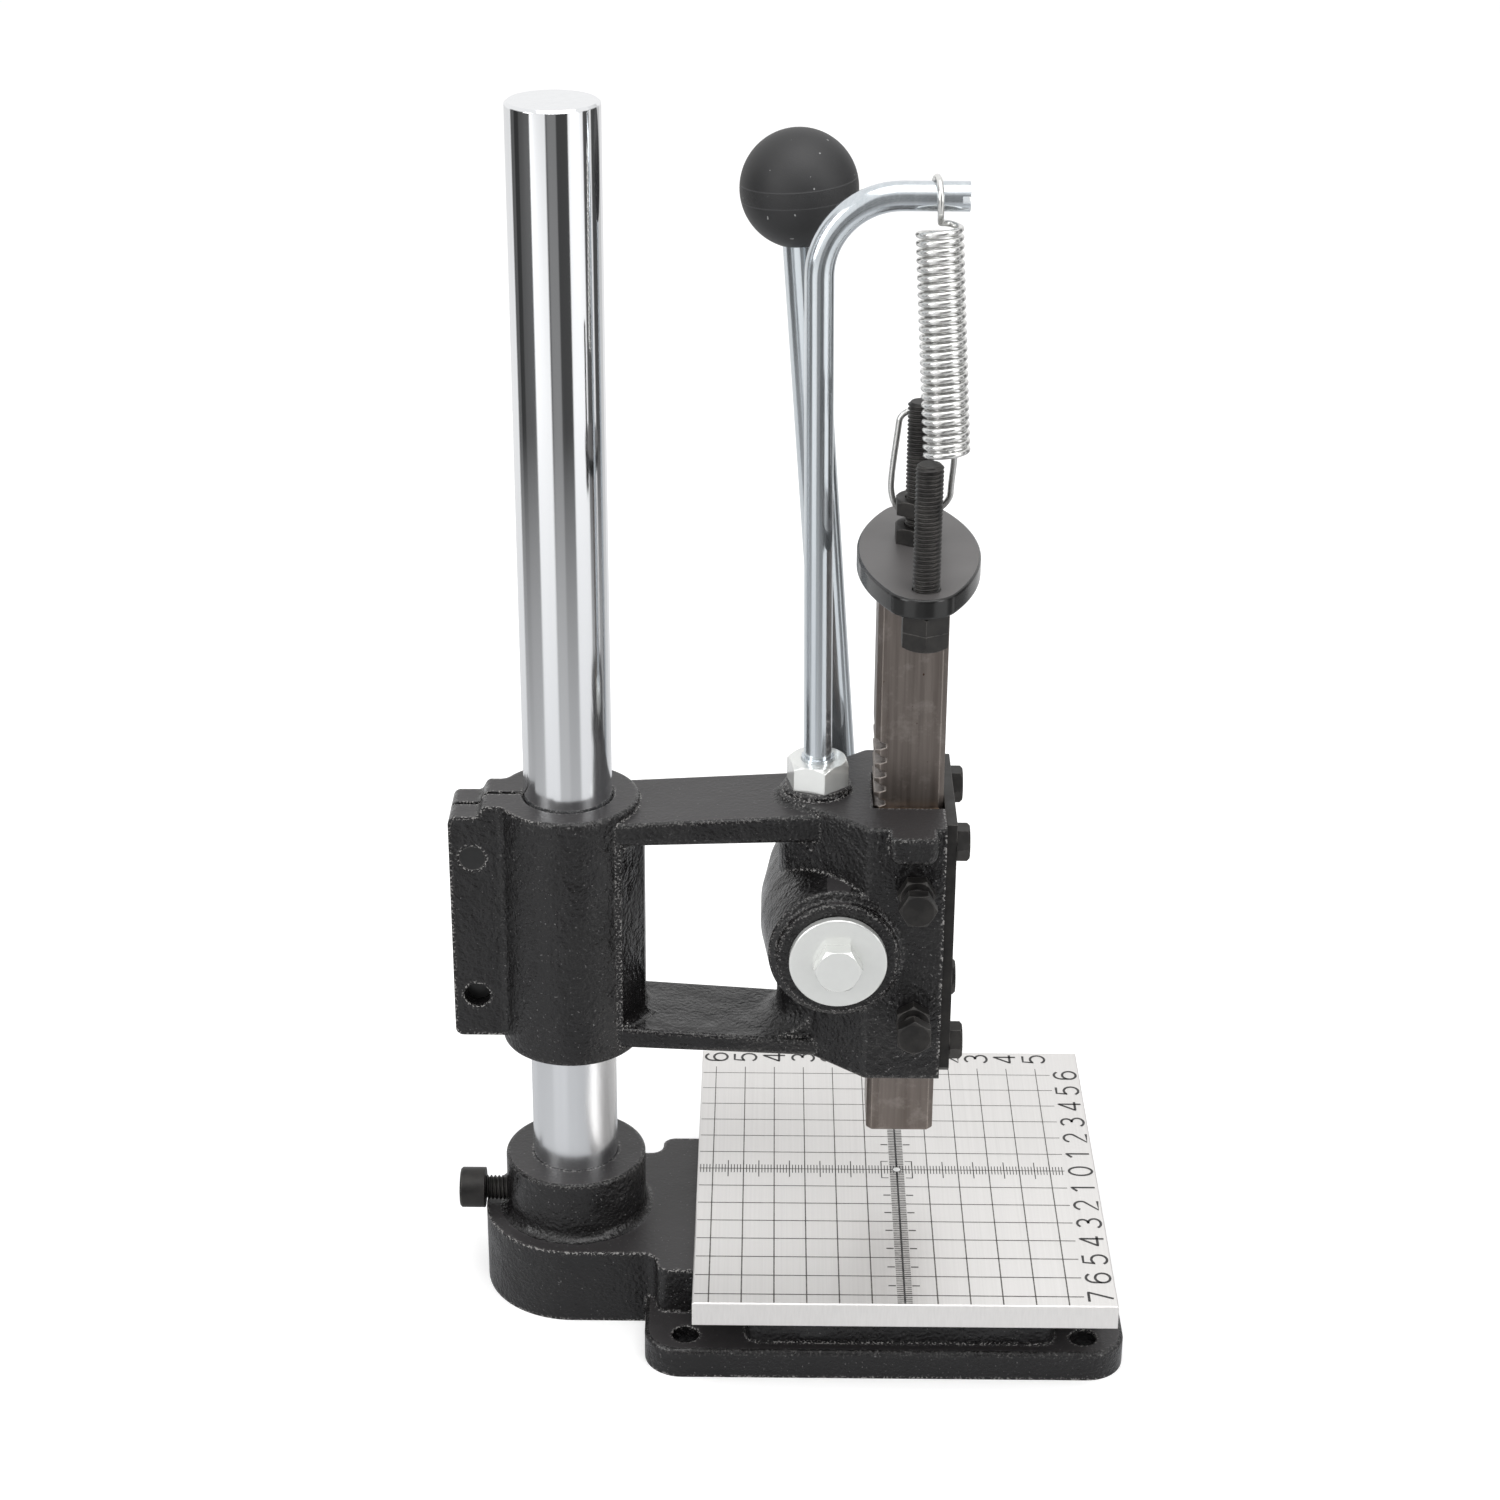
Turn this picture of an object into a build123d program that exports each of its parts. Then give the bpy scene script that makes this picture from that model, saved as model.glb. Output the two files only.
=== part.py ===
from build123d import *
import math
import os

os.makedirs("parts", exist_ok=True)

# Lever hole punch. Millimetres, +Z up. The origin is on the underside of the base, straight below
# the axis of the ram. +X points to the user's side, -X to the column, +Y to the lever's side.

# ---- Clearances -------------------------------------------------------------------------------
slide_gap = 0.3          # round the ram in its channel, on each side
running_gap = 0.05       # radial, round a shaft, the column or a screw that moves
screw_gap = 0.05         # radial, round a screw that stays put
end_play = 0.3           # axial, at each end of the pinion shaft
flank_play = 0.12        # on each flank of the rack and of the pinion

# ---- Screw sizes: thread, hexagon across flats, head height, nut height ------------------------
m5 = 5.0
m6, m6_flats, m6_head, m6_nut = 6.0, 10.0, 4.0, 4.0
m8, m8_flats, m8_head, m8_nut = 8.0, 13.0, 5.3, 5.8
m8_thin_nut = 5.0
m8_thinner_nut = 4.4
m10, m10_flats, m10_nut = 10.0, 17.0, 8.0

# ---- Base casting and work plate ---------------------------------------------------------------
flange_length = 150.0    # along X
flange_width = 117.0     # along Y
flange_height = 10.0
flange_corner = 12.0
flange_front = 70.2      # front edge, ahead of the ram axis
pad_height = 25.8        # machined top that carries the work plate
pad_back = -76.4
pad_front = 64.0
pad_width = 76.8
pad_corner = 4.5
cross_length = 96.4      # the pad's wide cross arm, along X
cross_width = 108.0      # the same, along Y
bolt_spacing_x = 124.0
bolt_spacing_y = 100.0
bolt_hole = 8.5
tongue_radius = 29.3
collar_diameter = 44.8
collar_height = 46.2
socket_floor = 5.0
core_depth = 16.0        # hollow under the pad
core_wall = 7.0
core_rib = 7.0
plate_length = 130.0     # along X
plate_width = 150.0      # along Y
plate_thickness = 8.0
plate_shift_x = 0.6      # the plate's printed zero, seen from the ram axis
plate_shift_y = 8.0
plate_screw_x = 36.0
plate_screw_y = 24.0
plate_screw_depth = 5.0
plate_screw_boss = 15.0

# ---- Column ------------------------------------------------------------------------------------
column_diameter = 27.0
column_back = 103.4      # column axis, behind the ram axis
column_top = 385.5
lock_screw_z = 31.0
lock_screw_reach = 29.6  # from the column axis to the underside of its head
lock_screw_head = 13.0
lock_screw_head_length = 8.0

# ---- Head casting ------------------------------------------------------------------------------
sleeve_diameter = 43.8
sleeve_bottom = 89.5
sleeve_top = 173.4
sleeve_round = 1.3
bore_chamfer = 0.8
ear_reach = 36.0         # split ears, from the column axis
ear_width = 20.0
ear_bottom = 94.0
ear_top = 169.8
ear_round = 2.5
ear_root_round = 3.5     # hollow between an ear and the sleeve
ear_ramp = (28.3, 23.9)  # where the ear's top swings up to the sleeve's, from the column axis
slit_width = 1.6
clamp_reach = 28.9
clamp_upper_z = 156.0
clamp_lower_z = 108.3
arm_width = 32.0
arm_root_x = -80.3       # where the window begins, beside the sleeve
arm_tip_x = -27.0        # where the arms run into the head block
arm_top_round = 1.0
arm_bottom_round = 2.0
arm_root_round = 4.0     # hollow corners in plan, at the sleeve and at the block
upper_arm_top = (171.0, 174.1)       # at the root and at the tip
upper_arm_bottom = (163.1, 164.9)
lower_arm_top = (99.5, 96.0)
lower_arm_bottom = (92.5, 90.3)
window_corner = 3.2
nose_upper_corner = 4.4
nose_lower_corner = 8.0
nose_foot_round = 2.0
rib_nose = 4.0           # half width of the rib between sleeve and window
rib_slant = 6.7          # how far its sides slant back to the full width of the arms
rib_inset = 2.0          # its ends, inside the arms
head_top = 176.0
head_bottom = 90.0
head_half_width = 28.3
head_shoulder_x = -12.2
head_nose_x = -39.2
head_corner = 3.0        # rounding of its upright corners
head_edge = 1.2          # rounding of its top and bottom edges
barrel_mid_radius = 23.3
barrel_mid_half = 8.0
barrel_neck_radius = 21.0
barrel_end_radius = 18.5
barrel_end_y = 31.5
barrel_step = 1.0        # along Y, where the casting steps in at each end
barrel_edge = 0.7
lug_width = 14.3
lug_reach = 35.0         # stop lug, from the ram axis
lug_height = 9.0
lug_corner = 3.5
lug_round = 2.0
lug_edge = 0.8
boss_radius = 10.6       # low round boss under the spring hanger's nut
boss_height = 2.0

# ---- Ram, gib and cover ------------------------------------------------------------------------
ram_side = 21.0
ram_chamfer = 1.6
ram_bottom = 60.4
ram_top = 251.0
punch_thread_core = 8.5  # tapped M10
punch_thread_depth = 20.0
gib_thickness = 3.1
gib_width = 18.0
gib_top = 175.0
gib_bottom = 91.0
gib_screw_x = 2.2
gib_screw_zs = (112.0, 155.3)
gib_screw_turns = (30.0, 0.0)        # degrees, of each screw and its nut
gib_screw_reach = 37.2   # from the ram axis to the underside of the head
cover_thickness = 3.2
cover_half_width = 25.0
cover_corner = 2.0
cover_bottom = 90.5
cover_screw_y = 20.0
cover_screw_zs = (99.5, 168.0)
cover_screw_depth = 12.0

# ---- Rack and pinion ---------------------------------------------------------------------------
module = 1.5
teeth = 16
pressure_angle = 20.0
pinion_z = 133.8
tooth_half_width = 13.0
rack_spaces_below = 3
rack_spaces_above = 13
washer_diameter = 29.5
washer_thickness = 2.5
end_bolt_length = 20.0
spigot_diameter = 20.0
hub_diameter = 31.0
hub_length = 16.4

# ---- Lever -------------------------------------------------------------------------------------
lever_lean = 4.3         # degrees, back from upright
lever_offset = 2.6       # rod axis beside the shaft axis
lever_diameter = 12.0
lever_seat = 5.0         # start of the rod, above the hub's centre
knob_distance = 217.6
knob_diameter = 35.0
knob_flat = 15.7         # from the knob's centre to its flat underside
knob_socket = 8.0        # depth of the rod in the knob, from the centre

# ---- Spring hanger -----------------------------------------------------------------------------
hanger_diameter = 8.5
hanger_x = -27.4
hanger_thread_bottom = 153.0
hanger_top_x = -29.4     # the rod leans a little to the back
hanger_top_z = 359.3
hanger_end_x = 12.6
hanger_bend = 23.0
hanger_slot_width = 2.0
hanger_slot_depth = 2.2

# ---- Ram top -----------------------------------------------------------------------------------
top_x = 0.8              # stud and oval plate, off the ram axis
oval_length = 78.0
oval_width = 36.0
oval_thickness = 6.0
oval_centre_y = -8.5
oval_edge = 0.8
oval_end_radius = 10.5
stud_bottom = 231.0
stud_top = 299.4
hook_gap = 3.9           # between the two stud nuts, for the spring's hook
stop_x = 1.6
stop_y = -38.7
stop_length = 49.0

# ---- Return spring -----------------------------------------------------------------------------
wire = 1.9
coil_diameter = 13.8
coil_half_turns = 53     # plus a last quarter turn
coil_foot = (7.8, -11.0, 286.8)
coil_head = (4.2, -2.5, 350.5)
hook_clearance = 0.5     # between the wire and the rods that it goes round
hook_leg = (             # lower hook's left leg, behind the stud, from its tip: x and height
    (-2.6, 294.4),
    (-5.3, 291.4),
    (-7.2, 272.5),
)
hook_under = (-3.0, 4.8)             # where the hook runs level under the upper nut, in x
hook_rise = (            # its right leg, up to the coil's foot
    (10.2, 4.4, 269.8),
    (10.5, -3.3, 283.9),
)

# ---- Derived places ----------------------------------------------------------------------------
column_x = -column_back
plate_top = pad_height + plate_thickness
pitch_radius = module * teeth / 2
tip_radius = pitch_radius + module
root_radius = pitch_radius - 1.25 * module
pinion_x = -(ram_side / 2 - module + pitch_radius)
channel = ram_side / 2 + slide_gap
casting_front = channel
gib_back = -(channel + gib_thickness)
oval_top = ram_top + oval_thickness
shaft_near = -(barrel_end_y + end_play)
shaft_far = barrel_end_y + end_play
lever_y = shaft_far + hub_length / 2
lower_nut_bottom = oval_top
hook_z = lower_nut_bottom + m8_thin_nut + hook_gap / 2
upper_nut_bottom = lower_nut_bottom + m8_thin_nut + hook_gap


# ---- Shared shapes -----------------------------------------------------------------------------
def block(x, y, z):
    """A box between pairs of limits."""
    size = (x[1] - x[0], y[1] - y[0], z[1] - z[0])
    centre = ((x[0] + x[1]) / 2, (y[0] + y[1]) / 2, (z[0] + z[1]) / 2)
    return Pos(*centre) * Box(*size)


def prism(points, plane, half):
    """A polygon drawn on a plane and thickened to both sides."""
    return extrude(plane * make_face(Polyline(*points, close=True)), half, both=True)


def rod(diameter, start, length, axis="Z"):
    """A round bar from a start point along an axis; a negative length runs the other way."""
    turn = {"X": Rot(0, 90, 0), "Y": Rot(-90, 0, 0), "Z": Rot(0, 0, 0)}[axis]
    middle = turn * Pos(0, 0, length / 2)
    return Pos(*start) * middle * Cylinder(diameter / 2, abs(length))


def hexagon(flats, height, turned=0.0):
    """A hexagonal block on the XY plane with its outer corners turned off, as on nuts and heads."""
    prism_part = extrude(Rot(0, 0, turned) * RegularPolygon(flats / 2, 6, major_radius=False), height)
    corner = flats / math.sqrt(3)
    crown = Cylinder(corner, height, align=(Align.CENTER, Align.CENTER, Align.MIN))
    crown = chamfer(crown.edges().filter_by(GeomType.CIRCLE).sort_by(Axis.Z)[-1], corner - flats / 2)
    return prism_part & crown


def hex_bolt(thread, flats, head, length, turned=0.0):
    """A bolt whose shank runs down from the origin and whose head stands above it."""
    return hexagon(flats, head, turned) + rod(thread, (0, 0, 0), -length)


def nut(thread, flats, height, turned=0.0):
    """A nut that stands on the XY plane."""
    return hexagon(flats, height, turned) - rod(thread + 2 * running_gap, (0, 0, -1), height + 2)


def place_along(x, y, z, axis):
    """Stands a shape that was drawn along +Z on a point, along another axis."""
    turn = {"+X": Rot(0, 90, 0), "-X": Rot(0, -90, 0), "+Y": Rot(-90, 0, 0), "-Y": Rot(90, 0, 0)}[axis]
    return Pos(x, y, z) * turn


def save(shape, name):
    """Writes one node."""
    shape.label = name
    export_step(shape, f"parts/{name}.step")


# ---- Base --------------------------------------------------------------------------------------
flange_centre = flange_front - flange_length / 2
bolt_holes = [
    (flange_centre + i * bolt_spacing_x / 2, j * bolt_spacing_y / 2) for i in (-1, 1) for j in (-1, 1)
]
plate_screws = [(i * plate_screw_x, j * plate_screw_y) for i in (-1, 1) for j in (-1, 1)]


def base_outline():
    """The raised pad with its wide cross arm and the round tongue for the column socket."""
    long_pad = Pos((pad_back + pad_front) / 2, 0) * Rectangle(pad_front - pad_back, pad_width)
    tongue = Pos((column_x + pad_back) / 2, 0) * Rectangle(pad_back - column_x, 2 * tongue_radius)
    outline = long_pad + Rectangle(cross_length, cross_width) + tongue
    corners = [v for v in outline.vertices() if v.X > column_x + pad_corner]
    steps = [
        (pad_width - 2 * tongue_radius) / 2,
        (cross_width - pad_width) / 2,
        pad_front - cross_length / 2,
        -pad_back - cross_length / 2,
    ]
    outline = fillet(corners, min(pad_corner, 0.45 * min(steps)))
    return outline + Pos(column_x, 0) * Circle(tongue_radius)


def core_hollow():
    """The hollow under the pad, split by a cross of ribs, with a boss left for each plate screw."""
    x = (pad_back + core_wall, pad_front - core_wall)
    y = pad_width / 2 - core_wall
    centre = Pos((x[0] + x[1]) / 2, 0)
    sketch = centre * RectangleRounded(x[1] - x[0], 2 * y, pad_corner)
    sketch -= Rectangle(2 * flange_length, core_rib)
    sketch -= Rectangle(core_rib, 2 * flange_width)
    for px, py in plate_screws:
        sketch -= Pos(px, py) * Circle(plate_screw_boss / 2)
    return extrude(sketch, core_depth)


def make_base():
    flange = extrude(
        Pos(flange_centre, 0) * RectangleRounded(flange_length, flange_width, flange_corner), flange_height
    )
    flange = fillet(flange.edges().group_by(Axis.Z)[-1], 1.5)
    raised = extrude(base_outline(), pad_height)
    collar = Pos(column_x, 0, pad_height - 1) * Cylinder(
        collar_diameter / 2, collar_height - pad_height + 1, align=(Align.CENTER, Align.CENTER, Align.MIN)
    )
    collar = fillet(collar.edges().group_by(Axis.Z)[-1], 1.0)
    casting = flange + raised + collar
    foot_ring = [
        e for e in casting.edges().filter_by(GeomType.CIRCLE)
        if abs(e.center().Z - pad_height) < 0.01 and abs(e.radius - collar_diameter / 2) < 0.01
    ]
    casting = fillet(foot_ring, 3.0)
    casting -= core_hollow()
    casting -= rod(column_diameter + 2 * running_gap, (column_x, 0, socket_floor), collar_height)
    casting -= rod(m8 + 2 * screw_gap, (column_x - collar_diameter, 0, lock_screw_z), collar_diameter, "X")
    for x, y in bolt_holes:
        casting -= rod(bolt_hole, (x, y, -1), flange_height + 2)
    for x, y in plate_screws:
        casting -= rod(m5 + 2 * screw_gap, (x, y, -1), pad_height + 2)
        casting -= rod(10, (x, y, -1), core_depth - 2 + 1)
    return casting


def make_work_plate():
    plate = block(
        (plate_shift_x - plate_length / 2, plate_shift_x + plate_length / 2),
        (plate_shift_y - plate_width / 2, plate_shift_y + plate_width / 2),
        (pad_height, plate_top),
    )
    plate = chamfer(plate.edges().group_by(Axis.Z)[-1], 0.4)
    for x, y in plate_screws:
        plate -= rod(m5 + 2 * screw_gap, (x, y, pad_height - 1), plate_screw_depth + 1)
    return plate


def make_plate_screws():
    """Socket screws that come up through the base into blind holes in the plate."""
    head = core_depth - 2
    screws = []
    for x, y in plate_screws:
        screw = rod(m5, (x, y, head), pad_height - head + plate_screw_depth - 0.5)
        screw += rod(8.5, (x, y, head - 5), 5)
        screw -= extrude(Pos(x, y, head - 5) * RegularPolygon(2, 6, major_radius=False), 2.5)
        screws.append(screw)
    return Compound(children=screws)


def make_lock_screw():
    """Socket-head screw that presses on the column from the back of its socket."""
    face = column_x - lock_screw_reach
    screw = rod(m8, (face, 0, lock_screw_z), lock_screw_reach - column_diameter / 2, "X")
    head = rod(lock_screw_head, (face, 0, lock_screw_z), -lock_screw_head_length, "X")
    head = chamfer(head.edges().filter_by(GeomType.CIRCLE).sort_by(Axis.X)[0], 0.6)
    socket = Rot(0, -90, 0) * RegularPolygon(3, 6, major_radius=False)
    head -= extrude(Pos(face - lock_screw_head_length, 0, lock_screw_z) * socket, -4)
    return screw + head


def make_column():
    column = rod(column_diameter, (column_x, 0, socket_floor), column_top - socket_floor)
    return chamfer(column.edges().filter_by(GeomType.CIRCLE).sort_by(Axis.Z)[-1], 0.8)


# ---- Head --------------------------------------------------------------------------------------
def nose_touch():
    """Where the block's slanting far wall meets its round nose, and the nose's own radius."""
    nose = hanger_x - head_nose_x
    along = head_shoulder_x - hanger_x
    turn = math.atan2(head_half_width, along) + math.acos(nose / math.hypot(head_half_width, along))
    return hanger_x + nose * math.cos(turn), nose * math.sin(turn), turn


def block_outline():
    """The block in plan: square at the front, where the ram runs, and drawn in to a round nose."""
    x, y, _ = nose_touch()
    side = [(x, y), (head_shoulder_x, head_half_width), (casting_front, head_half_width)]
    mirrored = [(a, -b) for a, b in reversed(side)]
    edges = Polyline(*side, *mirrored) + ThreePointArc((x, -y), (head_nose_x, 0), (x, y))
    outline = make_face(edges)
    shoulders = outline.vertices().filter_by(lambda v: abs(v.X - head_shoulder_x) < 0.01)
    return fillet(shoulders, head_corner)


def arm_plan():
    """The arms in plan, with hollow corners where they leave the sleeve and reach the block."""
    bar = Pos((column_x + head_shoulder_x) / 2, 0) * Rectangle(head_shoulder_x - column_x, arm_width)
    inside = arm_root_round / 8
    plan = bar + Pos(column_x, 0) * Circle(sleeve_diameter / 2 - inside) + offset(block_outline(), -inside)
    meets = plan.vertices().filter_by(lambda v: abs(abs(v.Y) - arm_width / 2) < 0.01)
    return fillet(meets, arm_root_round)


def arm_side(top, bottom):
    """An arm seen from the side, a little deeper towards the block, from inside the sleeve to the block."""
    x0, x1 = column_x, head_shoulder_x
    slope_top = (top[1] - top[0]) / (arm_tip_x - arm_root_x)
    slope_bottom = (bottom[1] - bottom[0]) / (arm_tip_x - arm_root_x)
    return [
        (x0, bottom[0] + slope_bottom * (x0 - arm_root_x)),
        (x1, bottom[0] + slope_bottom * (x1 - arm_root_x)),
        (x1, top[0] + slope_top * (x1 - arm_root_x)),
        (x0, top[0] + slope_top * (x0 - arm_root_x)),
    ]


def arm(top, bottom):
    """One flat arm with rounded long edges, and the hollow corners at its two ends."""
    bar = prism(arm_side(top, bottom), Plane.XZ, arm_width / 2)
    for level, rounding in ((bottom, arm_bottom_round), (top, arm_top_round)):
        rim = [e for e in bar.edges() if abs(e.tangent_at(0.5).X) > 0.9]
        bar = fillet([e for e in rim if abs(e.center().Z - sum(level) / 2) < rounding], rounding)
    lower_top = [z - arm_top_round for z in top]
    raised_bottom = [z + arm_bottom_round for z in bottom]
    return bar + (extrude(arm_plan(), head_top) & prism(arm_side(lower_top, raised_bottom), Plane.XZ, head_half_width))


def head_block():
    """The block round the ram, with its rims rounded but for the front, where the cover lies."""
    block_part = Pos(0, 0, head_bottom) * extrude(block_outline(), head_top - head_bottom)
    rims = block_part.faces().filter_by(Axis.Z).edges()
    return fillet(rims.filter_by(lambda e: e.center().X < casting_front - 0.1), head_edge)


def barrel():
    """The pinion's housing, drawn in towards both ends as a casting leaves its mould."""
    half = [
        (0, -barrel_end_y),
        (barrel_end_radius, -barrel_end_y),
        (barrel_end_radius, -head_half_width - 0.6 * barrel_step),
        (barrel_neck_radius, -head_half_width + 0.4 * barrel_step),
        (barrel_mid_radius, -barrel_mid_half),
        (barrel_mid_radius, barrel_mid_half),
        (barrel_neck_radius, head_half_width - 0.4 * barrel_step),
        (barrel_end_radius, head_half_width + 0.6 * barrel_step),
        (barrel_end_radius, barrel_end_y),
        (0, barrel_end_y),
    ]
    profile = make_face(Polyline(*half, close=True))
    profile = fillet(profile.vertices().filter_by(lambda v: v.X > barrel_end_radius / 2), barrel_edge)
    turned = revolve(profile, Axis.Y)
    return Pos(pinion_x, 0, pinion_z) * turned


def stop_lug():
    """The lug on the near side that the stop screw's head comes down on."""
    tab = block(
        (top_x - lug_width / 2, top_x + lug_width / 2),
        (-lug_reach, -head_half_width + 1),
        (head_top - lug_height, head_top),
    )
    lower = tab.edges().filter_by(Axis.Y).group_by(Axis.Z)[0]
    tab = fillet(lower, lug_corner)
    front = [e for e in tab.edges().filter_by(Axis.Z) if e.center().Y < -lug_reach + 0.1]
    tab = fillet(front, lug_round)
    rim = [e for e in tab.faces().sort_by(Axis.Z)[-1].edges() if e.center().Y < -head_half_width]
    return fillet(rim, lug_edge)


def ears():
    """The sleeve's two ears in one piece: a plan with hollow corners, cut to a side view with a ramp."""
    plan = Circle(sleeve_diameter / 2) + Pos(-ear_reach / 2, 0) * Rectangle(ear_reach, ear_width)
    meets = plan.vertices().filter_by(lambda v: -sleeve_diameter / 2 < v.X < -1)
    plan = fillet(meets, ear_root_round)
    start, end = (-ear_ramp[0], ear_top), (-ear_ramp[1], sleeve_top)
    side = [(-ear_reach, ear_top), (-ear_reach, ear_bottom), (0, ear_bottom), (0, sleeve_top), end]
    view = Polyline(start, *side) + Spline(end, start, tangents=[(-1, 0), (-1, 0)])
    view = make_face(Plane.XZ * view)
    upright = Pos(0, 0, ear_bottom) * extrude(plan, sleeve_top - ear_bottom)
    shape = upright & extrude(view, ear_width, both=True)
    outer = shape.edges().filter_by(Axis.Y).group_by(Axis.X)[0]
    shape = fillet(outer, ear_round)
    return Pos(column_x, 0, 0) * (shape - rod(column_diameter, (0, 0, 0), 2 * sleeve_top))


def sleeve():
    """The split sleeve that grips the column, with its two ears."""
    tube = rod(sleeve_diameter, (column_x, 0, sleeve_bottom), sleeve_top - sleeve_bottom)
    tube = fillet(tube.edges().filter_by(GeomType.CIRCLE), sleeve_round)
    half = arm_width / 2
    rib = [
        (column_x, -half), (arm_root_x - rib_slant, -half), (arm_root_x, -rib_nose),
        (arm_root_x, rib_nose), (arm_root_x - rib_slant, half), (column_x, half),
    ]
    rib_height = upper_arm_top[0] - lower_arm_bottom[0] - 2 * rib_inset
    rib_part = extrude(make_face(Polyline(*rib, close=True)), rib_height)
    return tube + ears() + Pos(0, 0, lower_arm_bottom[0] + rib_inset) * rib_part


def hollow_corner(place, outward, up, radius):
    """A square corner less a circle, in the plane across a wall, sunk a little into wall and arm."""
    plane = Plane(origin=place, x_dir=outward, z_dir=Vector(*outward).cross(Vector(0, 0, up)))
    depth = radius / 3
    middle = (radius - depth) / 2
    square = Pos(middle, middle) * Rectangle(radius + depth, radius + depth)
    return plane * (square - Pos(radius, radius) * Circle(radius))


def arm_level(levels, x):
    return levels[0] + (levels[1] - levels[0]) * (x - arm_root_x) / (arm_tip_x - arm_root_x)


def sleeve_corner(levels, up):
    """Straight across the rib's nose, then slanting back with its sides."""
    reach = arm_width / 2 - arm_bottom_round
    z = arm_level(levels, arm_root_x)
    profile = hollow_corner((arm_root_x, 0, z), (1, 0, 0), up, window_corner)
    corner = extrude(profile, rib_nose, both=True)
    out = arm_width / 2 - rib_nose
    for way in (-1, 1):
        slant = Vector(-rib_slant, way * out, 0) * ((reach - rib_nose) / out)
        corner += extrude(Pos(0, way * rib_nose, 0) * profile, slant.length, dir=slant.normalized())
    return corner


def nose_corner(levels, up, radius, reach):
    """Round the block's nose and out along both slanting walls, to the arm's edges."""
    x, y, turn = nose_touch()
    z = arm_level(levels, head_nose_x)
    run = arm_width / 2
    far = (x + run * math.sin(turn), y - run * math.cos(turn), z)
    near = (far[0], -far[1], z)
    path = Line(far, (x, y, z)) + ThreePointArc((x, y, z), (head_nose_x, 0, z), (x, -y, z)) + Line((x, -y, z), near)
    ring = sweep(hollow_corner(far, (math.cos(turn), math.sin(turn), 0), up, radius), path)
    return ring & block((head_nose_x - 2 * radius, casting_front), (-reach, reach), (z - 2 * radius, z + 2 * radius))


def window_corners():
    """Hollow corners where the arms meet the sleeve's rib and the block."""
    inner = arm_width / 2 - arm_bottom_round
    return [
        sleeve_corner(upper_arm_bottom, -1),
        sleeve_corner(lower_arm_top, 1),
        nose_corner(upper_arm_bottom, -1, nose_upper_corner, inner),
        nose_corner(lower_arm_top, 1, nose_lower_corner, inner),
        nose_corner(upper_arm_top, 1, nose_foot_round, arm_width / 2 - arm_top_round),
    ]


def clamp_holes():
    """Tapped in the near ear, clear in the far ear."""
    holes = []
    for z in (clamp_upper_z, clamp_lower_z):
        x = column_x - clamp_reach
        holes.append(rod(m8 + 2 * screw_gap, (x, -ear_width, z), ear_width, "Y"))
        holes.append(rod(m8 + 1.0, (x, 0, z), ear_width, "Y"))
    return holes


def make_head():
    casting = sleeve() + arm(upper_arm_top, upper_arm_bottom) + arm(lower_arm_top, lower_arm_bottom)
    casting += head_block()
    casting += barrel()
    casting += stop_lug()
    for corner in window_corners():
        casting += corner
    boss = rod(2 * boss_radius, (hanger_x, 0, upper_arm_top[0]), head_top + boss_height - upper_arm_top[0])
    casting += chamfer(boss.edges().filter_by(GeomType.CIRCLE).sort_by(Axis.Z)[-1], 0.8)
    bore = column_diameter + 2 * running_gap
    casting -= rod(bore, (column_x, 0, sleeve_bottom - 1), sleeve_top - sleeve_bottom + 2)
    casting -= Pos(column_x, 0, sleeve_top) * Cone(bore / 2, bore / 2 + 2 * bore_chamfer, 2 * bore_chamfer)
    casting -= block(
        (column_x - ear_reach - 1, column_x), (-slit_width / 2, slit_width / 2), (sleeve_bottom - 1, sleeve_top + 1)
    )
    for hole in clamp_holes():
        casting -= hole
    casting -= block((-channel, casting_front + 1), (gib_back - slide_gap / 3, channel), (0, head_top + 5))
    shaft_bore = 2 * (tip_radius + running_gap)
    casting -= rod(shaft_bore, (pinion_x, -barrel_end_y - 1, pinion_z), 2 * barrel_end_y + 2, "Y")
    casting -= rod(m10 + 2 * screw_gap, (hanger_x, 0, hanger_thread_bottom - 1), head_top)
    for z in gib_screw_zs:
        casting -= rod(m6 + 2 * screw_gap, (gib_screw_x, -head_half_width - 1, z), head_half_width, "Y")
    for y in (-cover_screw_y, cover_screw_y):
        for z in cover_screw_zs:
            casting -= rod(m6 + 2 * screw_gap, (casting_front - cover_screw_depth - 0.5, y, z), 20, "X")
    return casting


def make_clamp_bolts():
    """Two bolts through the far ear into the near one; the lower is the shorter."""
    x = column_x - clamp_reach
    bolts = []
    for z, tip in ((clamp_upper_z, -ear_width / 2), (clamp_lower_z, -ear_width / 2 + 5)):
        bolt = hex_bolt(m8, m8_flats, m8_head, ear_width / 2 - tip, 8)
        bolts.append(place_along(x, ear_width / 2, z, "+Y") * bolt)
    return Compound(children=bolts)


def make_cover():
    """The flat strap that closes the ram's channel at the front."""
    height = head_top - cover_bottom
    centre = Plane(origin=(casting_front, 0, cover_bottom + height / 2), x_dir=(0, 1, 0), z_dir=(1, 0, 0))
    plate = extrude(centre * Rectangle(2 * cover_half_width, height), cover_thickness)
    plate = chamfer(plate.edges().filter_by(Axis.X).group_by(Axis.Z)[0], cover_corner)
    for y in (-cover_screw_y, cover_screw_y):
        for z in cover_screw_zs:
            plate -= rod(m6 + 0.6, (casting_front - 1, y, z), cover_thickness + 2, "X")
    return plate


def make_cover_bolts():
    bolts = []
    face = casting_front + cover_thickness
    for y in (-cover_screw_y, cover_screw_y):
        for z in cover_screw_zs:
            bolt = hex_bolt(m6, m6_flats, m6_head, cover_thickness + cover_screw_depth, 30)
            bolts.append(place_along(face, y, z, "+X") * bolt)
    return Compound(children=bolts)


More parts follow.
